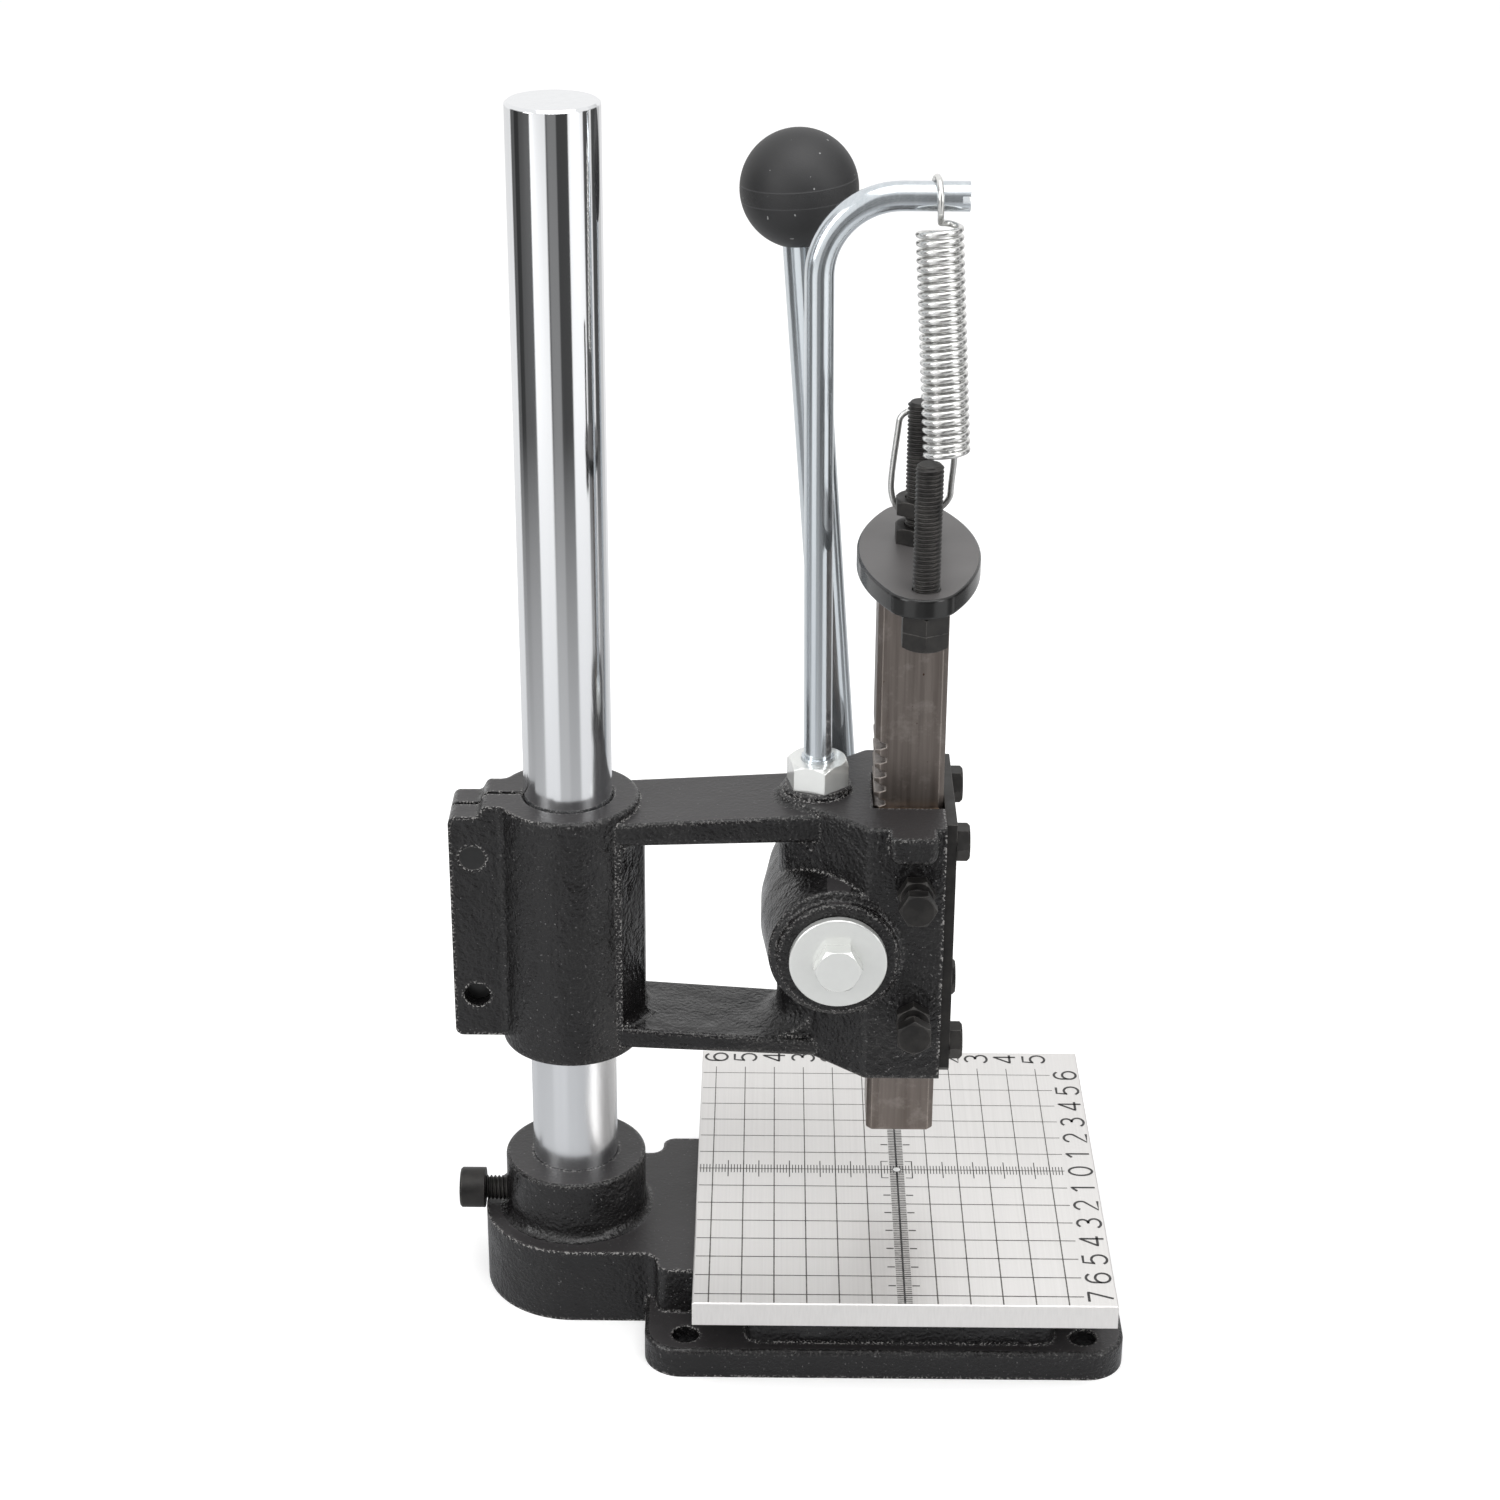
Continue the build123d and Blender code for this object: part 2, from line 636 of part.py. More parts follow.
def make_gib():
    """The wear strip between the ram and the near wall of its channel."""
    back = gib_back
    strip = block((-gib_width / 2, gib_width / 2), (back, back + gib_thickness), (gib_bottom, gib_top))
    strip = chamfer(strip.edges().filter_by(Axis.X).group_by(Axis.Z)[-1], 0.5)
    return strip - rod(2 * (tip_radius + slide_gap), (pinion_x, back - 1, pinion_z), gib_thickness + 2, "Y")


def make_gib_screws():
    screws = []
    for z, turned in zip(gib_screw_zs, gib_screw_turns):
        length = gib_screw_reach + gib_back
        screw = hex_bolt(m6, m6_flats, m6_head, length, turned)
        screws.append(place_along(gib_screw_x, -gib_screw_reach, z, "-Y") * screw)
    return Compound(children=screws)


def make_gib_nuts():
    nuts = []
    for z, turned in zip(gib_screw_zs, gib_screw_turns):
        nuts.append(place_along(gib_screw_x, -head_half_width, z, "-Y") * nut(m6, m6_flats, m6_nut, turned))
    return Compound(children=nuts)


# ---- Spring hanger -----------------------------------------------------------------------------
def make_hanger():
    """A bent rod that is screwed into the head, leans back a little and ends level over the ram."""
    thread_top = head_top + boss_height + m10_nut + 1
    path = FilletPolyline(
        (hanger_x, 0, thread_top),
        (hanger_top_x, 0, hanger_top_z),
        (hanger_end_x, 0, hanger_top_z),
        radius=hanger_bend,
    )
    bar = sweep(Plane(path @ 0, z_dir=path % 0) * Circle(hanger_diameter / 2), path=path)
    bar += rod(m10, (hanger_x, 0, hanger_thread_bottom), thread_top - hanger_thread_bottom)
    slot = block(
        (hanger_end_x - hanger_slot_depth, hanger_end_x + 1),
        (-hanger_diameter, hanger_diameter),
        (hanger_top_z - hanger_slot_width / 2, hanger_top_z + hanger_slot_width / 2),
    )
    return bar - slot


def make_hanger_nut():
    return Pos(hanger_x, 0, head_top + boss_height) * nut(m10, m10_flats, m10_nut, 42)


# ---- Pinion and lever --------------------------------------------------------------------------
def involute(radius):
    """How far round the pinion a flank has turned by a radius, from the base circle out."""
    base = pitch_radius * math.cos(math.radians(pressure_angle))
    if radius <= base:
        return 0.0
    spread = math.acos(base / radius)
    return math.tan(spread) - spread


def tooth_space():
    """The gap between two pinion teeth, centred on +X: two involute flanks on a round root."""
    half = math.pi / (2 * teeth) + flank_play / pitch_radius
    radii = [root_radius, pitch_radius * math.cos(math.radians(pressure_angle))]
    radii += [radii[1] + (tip_radius - radii[1]) * step / 4 for step in range(1, 5)]
    flank = [(r, half - involute(pitch_radius) + involute(r)) for r in radii]
    outside = (tip_radius + 1, flank[-1][1])
    side = [(r * math.cos(a), r * math.sin(a)) for r, a in flank + [outside]]
    return make_face(Polyline(*side, *[(x, -y) for x, y in reversed(side)], close=True))


def make_pinion_shaft():
    """A plain shaft with the pinion's teeth cut in its middle and a spigot for the hub."""
    shaft = rod(2 * tip_radius, (0, 0, shaft_near), shaft_far - shaft_near)
    half_step = 180 / teeth
    for step in range(teeth):
        space = Rot(0, 0, half_step + 2 * half_step * step) * tooth_space()
        shaft -= extrude(space, tooth_half_width, both=True)
    shaft += rod(spigot_diameter, (0, 0, shaft_far), hub_length + 1)
    shaft -= rod(m8 + 2 * screw_gap, (0, 0, shaft_near - 1), end_bolt_length + 2)
    return place_along(pinion_x, 0, pinion_z, "+Y") * shaft


def make_washer():
    ring = rod(washer_diameter, (0, 0, 0), washer_thickness)
    ring = chamfer(ring.edges().filter_by(GeomType.CIRCLE).sort_by(Axis.Z)[-1], 0.3)
    ring -= rod(m8 + 0.6, (0, 0, -1), washer_thickness + 2)
    return place_along(pinion_x, shaft_near, pinion_z, "-Y") * ring


def make_end_bolt():
    face = shaft_near - washer_thickness
    bolt = hex_bolt(m8, m8_flats, m8_head, washer_thickness + end_bolt_length, 0)
    return place_along(pinion_x, face, pinion_z, "-Y") * bolt


lever_frame = Pos(pinion_x, lever_y, pinion_z) * Rot(0, -lever_lean, 0)


def make_hub():
    """The round hub on the shaft's far end, drilled across for the lever."""
    hub = rod(hub_diameter, (pinion_x, shaft_far, pinion_z), hub_length, "Y")
    hub = chamfer(hub.edges().filter_by(GeomType.CIRCLE), 1.0)
    hub -= rod(spigot_diameter + 2 * screw_gap, (pinion_x, shaft_far - 1, pinion_z), hub_length + 2, "Y")
    lever_hole = rod(lever_diameter + 2 * screw_gap, (lever_offset, 0, 0), hub_diameter)
    hub -= lever_frame * lever_hole
    hub -= lever_frame * rod(m6 + 2 * screw_gap, (0, 0, 0), hub_diameter, "X")
    return hub


def lever_foot():
    """How far out the rod meets the spigot."""
    return spigot_diameter / 2 + 0.5


def make_hub_screw():
    """Grub screw that locks the hub on the spigot."""
    start = spigot_diameter / 2 + 0.2
    screw = rod(m6, (start, 0, 0), hub_diameter / 2 - start - 0.5, "X")
    return lever_frame * screw


def make_lever():
    length = knob_distance - knob_socket - lever_foot()
    bar = rod(lever_diameter, (lever_offset, 0, lever_foot()), length)
    return lever_frame * bar


def make_knob():
    ball = Pos(lever_offset, 0, knob_distance) * Sphere(knob_diameter / 2)
    floor = knob_distance - knob_flat
    ball -= block((-40, 40), (-40, 40), (floor - 20, floor))
    ball -= rod(lever_diameter, (lever_offset, 0, floor - 1), knob_flat - knob_socket + 1)
    return lever_frame * ball


# ---- Ram ---------------------------------------------------------------------------------------
def rack_space():
    """The trapezoid gap between two rack teeth, as seen from the side and centred on the pitch line."""
    slant = math.tan(math.radians(pressure_angle))
    half = module * math.pi / 4 + flank_play
    deep, out = 1.25 * module, module + 1
    pitch_line = -(ram_side / 2) + module
    return [
        (pitch_line - out, -(half + slant * out)),
        (pitch_line + deep, -(half - slant * deep)),
        (pitch_line + deep, half - slant * deep),
        (pitch_line - out, half + slant * out),
    ]


def make_ram():
    """A square bar with a rack cut in its back, a stud hole in its top and a punch thread below."""
    bar = block((-ram_side / 2, ram_side / 2), (-ram_side / 2, ram_side / 2), (ram_bottom, ram_top))
    bar = chamfer(bar.edges().filter_by(Axis.Z), ram_chamfer)
    bar = fillet(bar.faces().sort_by(Axis.Z)[0].outer_wire().edges(), 1.2)
    for step in range(-rack_spaces_below, rack_spaces_above + 1):
        z = pinion_z + step * module * math.pi
        gap = [(x, z + dz) for x, dz in rack_space()]
        bar -= prism(gap, Plane.XZ, ram_side)
    bar -= rod(punch_thread_core, (0, 0, ram_bottom - 1), punch_thread_depth + 1)
    bar -= rod(m8 + 2 * screw_gap, (top_x, 0, stud_bottom - 0.5), ram_top)
    return bar


def make_oval_plate():
    """The oval plate on the ram's top that carries the stop screw: two wide arcs and two tight ones."""
    long_half, half, tight = oval_length / 2, oval_width / 2, oval_end_radius
    wide = ((long_half - tight) ** 2 + half**2 - tight**2) / (2 * (half - tight))
    lens = (Pos(wide - half, 0) * Circle(wide)) & (Pos(half - wide, 0) * Circle(wide))
    plate = extrude(fillet(lens.vertices(), tight), oval_thickness)
    plate = fillet(plate.faces().filter_by(Axis.Z).edges(), oval_edge)
    plate = Pos(top_x, oval_centre_y, ram_top) * plate
    plate -= rod(m8 + 2 * screw_gap, (top_x, 0, ram_top - 1), oval_thickness + 2)
    plate -= rod(m8 + 2 * running_gap, (stop_x, stop_y, ram_top - 1), oval_thickness + 2)
    return plate


def make_stud():
    stud = rod(m8, (top_x, 0, stud_bottom), stud_top - stud_bottom)
    return chamfer(stud.edges().filter_by(GeomType.CIRCLE), 0.9)


def make_stud_nut(bottom, height):
    return Pos(top_x, 0, bottom) * nut(m8, m8_flats, height, 30)


def make_stop_nut():
    return Pos(stop_x, stop_y, ram_top - m8_nut) * nut(m8, m8_flats, m8_nut, 30)


def make_stop_screw():
    """Stop screw, head down under its lock nut."""
    under = ram_top - m8_nut
    bolt = Rot(180, 0, 0) * hex_bolt(m8, m8_flats, m8_head, stop_length, 30)
    tip = bolt.edges().filter_by(GeomType.CIRCLE).sort_by(Axis.Z)[-1]
    return Pos(stop_x, stop_y, under) * chamfer(tip, 0.9)


# ---- Return spring -----------------------------------------------------------------------------
def coil_knots():
    """Points and directions at each half turn, from the coil's foot to the quarter turn at its head."""
    mean_radius = (coil_diameter - wire) / 2
    foot, head = Vector(*coil_foot), Vector(*coil_head)
    turns = coil_half_turns / 2 + 0.25
    rise = (head - foot) * (1 / turns)
    up = rise.normalized()
    right = (Vector(1, 0, 0) - up * up.X).normalized()
    back = up.cross(right)
    knots = []
    for turn in [half / 2 for half in range(coil_half_turns + 1)] + [turns]:
        angle = 2 * math.pi * (turn + 0.25)
        outward = right * math.cos(angle) + back * math.sin(angle)
        onward = back * math.cos(angle) - right * math.sin(angle)
        tangent = onward * (2 * math.pi * mean_radius) + rise
        knots.append((foot + outward * mean_radius + rise * turn, tangent.normalized()))
    return knots


def lower_hook_knots():
    """From the hook's tip down the left, round the back of the stud under the upper nut, and up."""
    behind = m8 / 2 + wire / 2 + hook_clearance
    points = [Vector(x, behind, z) for x, z in hook_leg]
    points += [Vector(x, behind, hook_z) for x in hook_under]
    points += [Vector(*point) for point in hook_rise]
    ways = [(-1, 0, -0.1), (-0.1, 0, -1), (-0.05, 0, -1), (1, 0, -0.02), (1, 0, 0.02), (0, -0.4, 1), (0, -0.5, 0.9)]
    return [(point, Vector(*way)) for point, way in zip(points, ways)]


def upper_hook_knots():
    """From the coil's right side to its middle, up in front of the hanger's end and down behind."""
    reach = hanger_diameter / 2 + wire / 2 + hook_clearance
    x, y, z = coil_head
    mean_radius = (coil_diameter - wire) / 2
    return [
        (Vector(x + mean_radius - 2.9, y + 2.9, z + 0.9), Vector(-1, 0, 0.25)),
        (Vector(x + 0.3, y + 0.4, z + 1.9), Vector(-0.1, -1, 0.5)),
        (Vector(x, -reach, hanger_top_z), Vector(0, 0, 1)),
        (Vector(x - 0.8, 0, hanger_top_z + reach), Vector(-0.2, 1, 0)),
        (Vector(x - 1.8, reach, hanger_top_z), Vector(-0.2, 0, -1)),
        (Vector(x - 2.6, reach - 1.2, hanger_top_z - 4.2), Vector(-0.2, -0.5, -1)),
    ]


def spring_knots():
    return lower_hook_knots() + coil_knots() + upper_hook_knots()


def biarc(start, start_way, end, end_way):
    """Two arcs that leave one point and reach another in given directions, with equal reach."""
    span = end - start
    ways = start_way + end_way
    bend = 2 * (1 - start_way.dot(end_way))
    if bend < 1e-9:
        reach = span.dot(span) / (2 * span.dot(ways))
    else:
        reach = (math.sqrt(span.dot(ways) ** 2 + bend * span.dot(span)) - span.dot(ways)) / bend
    first, second = start + start_way * reach, end - end_way * reach
    middle = (first + second) * 0.5
    middle_way = (second - first).normalized()
    return [
        Edge.make_tangent_arc(start, start_way, middle),
        Edge.make_tangent_arc(middle, middle_way, end),
    ]


def spring_path():
    knots = [(point, way.normalized()) for point, way in spring_knots()]
    edges = []
    for (start, start_way), (end, end_way) in zip(knots, knots[1:]):
        edges += biarc(start, start_way, end, end_way)
    return edges


def least_gap(edges):
    """Smallest air gap between points of the wire that are more than half a turn apart."""
    points = [edge @ (step / 4) for edge in edges for step in range(4)]
    apart = 16
    best = min(
        (points[i] - points[j]).length
        for i in range(len(points))
        for j in range(i + apart, min(len(points), i + 4 * apart))
    )
    return best - wire


def make_spring():
    """One unbroken wire: lower hook, coil and upper hook."""
    edges = spring_path()
    print("spring: least gap to itself", round(least_gap(edges), 3), "mm")
    print("spring: tightest bend", round(min(e.radius for e in edges if e.geom_type == GeomType.CIRCLE), 2), "mm")
    path = Wire(edges)
    section = Plane(path @ 0, z_dir=path % 0) * Circle(wire / 2)
    return sweep(section, path=path)


# ---- Nodes -------------------------------------------------------------------------------------
nodes = {
    "base_casting": make_base(),
    "work_plate": make_work_plate(),
    "plate_screws": make_plate_screws(),
    "column_lock_screw": make_lock_screw(),
    "column": make_column(),
    "head_casting": make_head(),
    "clamp_bolts": make_clamp_bolts(),
    "front_cover_plate": make_cover(),
    "cover_bolts": make_cover_bolts(),
    "side_gib": make_gib(),
    "gib_adjusting_bolts": make_gib_screws(),
    "gib_lock_nuts": make_gib_nuts(),
    "spring_hanger": make_hanger(),
    "hanger_lock_nut": make_hanger_nut(),
    "pinion_shaft": make_pinion_shaft(),
    "pinion_washer": make_washer(),
    "pinion_end_bolt": make_end_bolt(),
    "lever_hub": make_hub(),
    "hub_set_screw": make_hub_screw(),
    "lever_rod": make_lever(),
    "lever_knob": make_knob(),
    "ram": make_ram(),
    "ram_top_plate": make_oval_plate(),
    "ram_stud": make_stud(),
    "stud_lower_nut": make_stud_nut(lower_nut_bottom, m8_thin_nut),
    "stud_upper_nut": make_stud_nut(upper_nut_bottom, m8_thinner_nut),
    "stop_lock_nut": make_stop_nut(),
    "stop_screw": make_stop_screw(),
    "return_spring": make_spring(),
}
for name, shape in nodes.items():
    save(shape, name)
print(len(nodes), "nodes")
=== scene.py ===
# %% [markdown]
# # Dressing a lever hole punch
#
# The punch is a small hand press: a lever turns a pinion, the pinion drives a square ram down, and
# a spring pulls it back up. Its working model already exists, with every part in its true place.
# This lesson keeps those parts and gives them what a camera sees: rough black enamel, chromed and
# zinc-plated steel, real screw threads, a wound spring and the printed scale on the work plate.

import math

import bpy
import numpy as np
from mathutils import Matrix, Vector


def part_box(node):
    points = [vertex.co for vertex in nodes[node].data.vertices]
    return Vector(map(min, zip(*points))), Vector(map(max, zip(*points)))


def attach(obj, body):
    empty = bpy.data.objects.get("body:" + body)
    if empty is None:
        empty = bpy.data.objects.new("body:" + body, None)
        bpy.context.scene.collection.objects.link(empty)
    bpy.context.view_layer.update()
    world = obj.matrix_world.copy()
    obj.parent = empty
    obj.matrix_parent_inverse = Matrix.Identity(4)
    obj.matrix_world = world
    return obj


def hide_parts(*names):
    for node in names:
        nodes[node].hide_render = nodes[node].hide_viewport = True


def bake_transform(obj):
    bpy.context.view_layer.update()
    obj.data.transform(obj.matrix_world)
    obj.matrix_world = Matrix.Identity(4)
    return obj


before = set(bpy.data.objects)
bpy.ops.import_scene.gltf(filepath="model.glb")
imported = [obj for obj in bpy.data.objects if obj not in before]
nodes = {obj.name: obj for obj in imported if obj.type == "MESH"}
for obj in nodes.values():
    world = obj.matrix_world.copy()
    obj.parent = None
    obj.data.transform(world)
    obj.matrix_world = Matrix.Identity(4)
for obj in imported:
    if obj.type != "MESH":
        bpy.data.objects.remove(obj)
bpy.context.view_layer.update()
mm = 0.001

# %% [markdown]
# ## The camera
#
# A photograph can be matched by eye or by measurement. The plate's printed centimetre grid allows
# measurement: one lens and one place put every grid crossing where the photograph has it.

# %% Camera
camera_place = (-0.0431, -0.8313, 0.5774)
camera_turn = (64.925, -0.281, 0.468)   # degrees about X, Y and Z
camera_lens = 72.78                     # millimetres
sensor_width = 36.0                     # millimetres
camera_sight = 20                       # metres, past the floor's far edge


def add_object(name, data):
    """Puts a camera, a lamp or a mesh into the scene."""
    made = bpy.data.objects.new(name, data)
    bpy.context.scene.collection.objects.link(made)
    return made


def add_camera():
    lens = bpy.data.cameras.new("portrait_camera")
    lens.lens = camera_lens
    lens.sensor_width = sensor_width
    lens.sensor_fit = "HORIZONTAL"
    lens.clip_end = camera_sight
    camera = add_object("portrait_camera", lens)
    camera.location = camera_place
    camera.rotation_euler = [math.radians(angle) for angle in camera_turn]
    bpy.context.scene.camera = camera


add_camera()
print("camera: a lens of", camera_lens, "mm at", camera_place)

# %% [markdown]
# ## Helpers for materials
#
# A procedural material is a chain of nodes. Each finish below is a short recipe, so small helpers
# do what comes back in every recipe: add a node and join its inputs, start a material or a group,
# read a place or a direction, and mix noise, numbers and colours.


# %% Node helpers
def join(tree, node, inputs):
    """Sets a node's inputs: one given a socket is joined to it, any other takes the value."""
    for name, value in inputs.items():
        if isinstance(value, bpy.types.NodeSocket):
            tree.links.new(value, node.inputs[name])
        else:
            node.inputs[name].default_value = value


def add_node(tree, kind, inputs=None, **options):
    """Adds a shader node with its options and its inputs."""
    made = tree.nodes.new("ShaderNode" + kind)
    for option, value in options.items():
        setattr(made, option, value)
    join(tree, made, inputs or {})
    return made


def new_finish(name):
    """A material with only its shader and its output."""
    finish = bpy.data.materials.new(name)
    finish.use_nodes = True
    tree = finish.node_tree
    tree.nodes.clear()
    shader = add_node(tree, "BsdfPrincipled")
    add_node(tree, "OutputMaterial", {"Surface": shader.outputs["BSDF"]})
    return finish, tree, shader


a_number, a_way, a_colour = "NodeSocketFloat", "NodeSocketVector", "NodeSocketColor"


def new_group(name, inputs, outputs):
    """A node group with number inputs and the outputs named; returns its tree and its two ends."""
    group = bpy.data.node_groups.new(name, "ShaderNodeTree")
    for label, value in inputs.items():
        socket = group.interface.new_socket(label, in_out="INPUT", socket_type=a_number)
        socket.default_value = value
    for label, kind in outputs.items():
        group.interface.new_socket(label, in_out="OUTPUT", socket_type=kind)
    print("node group:", name)
    return group, group.nodes.new("NodeGroupInput"), group.nodes.new("NodeGroupOutput")


def use_group(tree, group, **inputs):
    """Places a group in a material with its own inputs; Along_X stands for the input Along X."""
    made = tree.nodes.new("ShaderNodeGroup")
    made.node_tree = group
    join(tree, made, {label.replace("_", " "): value for label, value in inputs.items()})
    return made


def dress(finish, *parts):
    """Gives one finish to parts of the working model."""
    for part in parts:
        nodes[part].data.materials.clear()
        nodes[part].data.materials.append(finish)
    print(finish.name, "on", *parts)


# %% Places, noise, numbers and colours in a recipe
level_enough = 0.98   # a face counts as level when its normal's Z is more than this


def object_place(tree):
    """Where a point lies, in metres."""
    return add_node(tree, "TexCoord").outputs["Object"]


def object_height(tree):
    """How high a point lies, in metres."""
    return add_node(tree, "SeparateXYZ", {0: object_place(tree)}).outputs["Z"]


def noise(tree, place, scale, detail, roughness=0.5):
    """Soft blotches from 0 to 1; the larger the scale, the smaller the blotches."""
    inputs = {"Vector": place, "Scale": scale, "Detail": detail, "Roughness": roughness}
    return add_node(tree, "TexNoise", inputs).outputs["Fac"]


def number_sum(tree, operation, *values, clamp=False):
    """A sum on numbers or sockets; clamp keeps its result from 0 to 1."""
    inputs = dict(enumerate(values))
    return add_node(tree, "Math", inputs, operation=operation, use_clamp=clamp).outputs[0]


def vector_sum(tree, operation, *values):
    """A sum on vectors; a length or a dot product comes out as a number."""
    made = add_node(tree, "VectorMath", dict(enumerate(values)), operation=operation)
    return made.outputs["Value" if operation in ("LENGTH", "DOT_PRODUCT") else "Vector"]


def level_faces(tree):
    """1 where the surface faces straight up, 0 elsewhere."""
    surface = add_node(tree, "NewGeometry")
    facing = add_node(tree, "SeparateXYZ", {0: surface.outputs["Normal"]})
    return number_sum(tree, "GREATER_THAN", facing.outputs["Z"], level_enough)


def mix_colour(tree, factor, low, high):
    """A colour between two, by a factor socket; each is a socket or a red, green and blue."""
    low, high = (end if isinstance(end, bpy.types.NodeSocket) else (*end, 1) for end in (low, high))
    mixed = add_node(tree, "Mix", {0: factor, 6: low, 7: high}, data_type="RGBA")
    return mixed.outputs[2]


def spread_value(tree, value, low, high, start=0.0, stop=1.0):
    """A value socket taken from the range start to stop to the range low to high."""
    ranged = add_node(tree, "MapRange", {
        "Value": value, "From Min": start, "From Max": stop, "To Min": low, "To Max": high,
    })
    return ranged.outputs["Result"]


def add_bump(tree, strength, depth, height, normal=None):
    """The normal of a surface that rises by the height socket times the depth in metres."""
    inputs = {"Strength": strength, "Distance": depth, "Height": height}
    if normal is not None:
        inputs["Normal"] = normal
    return add_node(tree, "Bump", inputs).outputs["Normal"]


# %% [markdown]
# ## Shared surface effects
#
# Three effects come back on many parts. Rough casting is a mix of noise at two sizes. Drawn and
# brushed steel shows fine lines that all run one way, which is noise squeezed along one axis. Worn
# edges come from the Bevel node: where its rounded normal leaves the face's own normal there is an
# edge, and there the finish is thinner and catches the light; on the enamel the same edge mask also
# carries painted glints. Each effect is a node group, built once, that every material places with
# its own values.


# %% Rough casting, drawn lines and edges as node groups
def make_cast_group():
    """Height: grains, rougher in some patches, on slow waves. Patch: slow change. Speck: 0 or 1."""
    group, start, end = new_group(
        "rough_casting", {"Grain": 1100.0, "Sparse": 0.70},
        {"Height": a_number, "Patch": a_number, "Speck": a_number},
    )
    place = object_place(group)
    coarse = noise(group, place, start.outputs["Grain"], 3.0)
    patch = noise(group, place, 55.0, 4.0)
    waves = noise(group, place, 130.0, 1.0)
    slow = number_sum(group, "MULTIPLY", waves, 0.9)
    rougher = spread_value(group, patch, 0.35, 1.2, 0.35, 0.7)
    grains = number_sum(group, "MULTIPLY", coarse, rougher)
    height = number_sum(group, "ADD", grains, slow)
    spots = noise(group, place, 1500.0, 0.0)
    speck = number_sum(group, "GREATER_THAN", spots, start.outputs["Sparse"])
    join(group, end, {"Height": height, "Patch": patch, "Speck": speck})
    return group


def make_lines_group():
    """Lines: noise on places times a scale along each axis; it runs the way of the lowest."""
    group, start, end = new_group(
        "drawn_lines", {"Along X": 900.0, "Along Y": 900.0, "Along Z": 12.0}, {"Lines": a_number}
    )
    place = object_place(group)
    along = {axis: start.outputs[f"Along {axis}"] for axis in "XYZ"}
    scales = add_node(group, "CombineXYZ", along)
    squeezed = vector_sum(group, "MULTIPLY", place, scales.outputs[0])
    join(group, end, {"Lines": noise(group, squeezed, 1.0, 3.0, 0.6)})
    return group


def make_edge_group():
    """Normal: rounded over edges. Edge: gain times (1 - rounded normal . face's own), 0 to 1."""
    group, start, end = new_group(
        "edge_wear_and_glint", {"Radius": 0.0006, "Gain": 6.0}, {"Normal": a_way, "Edge": a_number}
    )
    bevel = add_node(group, "Bevel", {"Radius": start.outputs["Radius"]}, samples=6)
    rounded = bevel.outputs["Normal"]
    own = add_node(group, "NewGeometry").outputs["Normal"]
    along = vector_sum(group, "DOT_PRODUCT", rounded, own)
    away = number_sum(group, "SUBTRACT", 1.0, along)
    edge = number_sum(group, "MULTIPLY", away, start.outputs["Gain"], clamp=True)
    join(group, end, {"Normal": rounded, "Edge": edge})
    return group


rough_casting = make_cast_group()
drawn_lines = make_lines_group()
edge_wear_and_glint = make_edge_group()

# %% [markdown]
# ## Black enamel on rough castings
#
# The base and the head are sand castings, sprayed with thin black enamel. The enamel is glossy, but
# the sand's grain shows through and breaks each reflection into specks. Faces that were machined
# before spraying are smoother, and where they face the sky their charcoal colour is a painted
# sheen: every level face of the base, and the head's from a little under its middle up. The head's
# lower arm stays rough and black, which is painted shade under the upper arm. The grey specks on
# edges are partly chipped enamel and partly painted glints.

# %% Enamel
enamel_black = (0.006, 0.0055, 0.0058)
# painted sheen: the charcoal that level faces of the glossy enamel show for the sky they mirror
painted_sheen_charcoal = (0.030, 0.028, 0.029)
dull_speck = (0.10, 0.098, 0.098)
# colour of the edge specks: partly bare iron where the enamel chipped, partly painted glints
bare_iron_and_glint = (0.34, 0.33, 0.32)
machined_rough = 0.42


def make_enamel(name, grain, depth, machined_and_sheen_above):
    """Black enamel, smoother on level faces above a height, with a painted charcoal sheen there.

    Level faces below that height stay black, as painted shade. Edges show specks of bare iron
    mixed with painted glints.
    """
    finish, tree, shader = new_finish(name)
    skin = use_group(tree, rough_casting, Grain=grain, Sparse=0.80)
    near_edge = use_group(tree, rough_casting, Grain=grain, Sparse=0.585)
    edge = use_group(tree, edge_wear_and_glint, Radius=0.0020, Gain=7.0)
    soft = use_group(tree, edge_wear_and_glint, Radius=0.0009, Gain=4.0)
    level = level_faces(tree)
    # below this height level faces stay black and rough: painted shade under the head's upper arm
    high = number_sum(tree, "GREATER_THAN", object_height(tree), machined_and_sheen_above)
    machined_and_sheen = number_sum(tree, "MULTIPLY", level, high)
    colour = mix_colour(tree, machined_and_sheen, enamel_black, painted_sheen_charcoal)
    colour = mix_colour(tree, skin.outputs["Speck"], colour, dull_speck)
    # edge specks: chipped enamel and painted glints along the edges
    bare = number_sum(tree, "MULTIPLY", edge.outputs["Edge"], near_edge.outputs["Speck"])
    colour = mix_colour(tree, bare, colour, bare_iron_and_glint)
    gloss = spread_value(tree, skin.outputs["Patch"], 0.18, 0.36, 0.35, 0.65)
    rough = add_node(tree, "Mix", {0: machined_and_sheen, 2: gloss, 3: machined_rough}, data_type="FLOAT")
    strength = spread_value(tree, machined_and_sheen, 1.0, 0.2)
    normal = add_bump(tree, strength, depth, skin.outputs["Height"], soft.outputs["Normal"])
    join(tree, shader, {"Base Color": colour, "Roughness": rough.outputs[0], "Normal": normal})
    return finish


# at 0.13 m the head's lower arm lies below the limit and stays black, as painted shade
dress(make_enamel("head_enamel", 760.0, 0.00085, 0.13), "head_casting")
dress(make_enamel("base_enamel", 820.0, 0.00075, 0.0), "base_casting")

# %% [markdown]
# ## Bright steel
#
# The column is ground and chromed, the lever and the spring's hanger are drawn bars with bluish
# zinc plating, and the work plate is brushed. The nut, washer and bolt beside them are paler zinc.
# All are mostly metal to the shader. What tells them apart is their colour, their roughness and
# the way of their fine lines. A film of oil dulls the column, most at its foot.


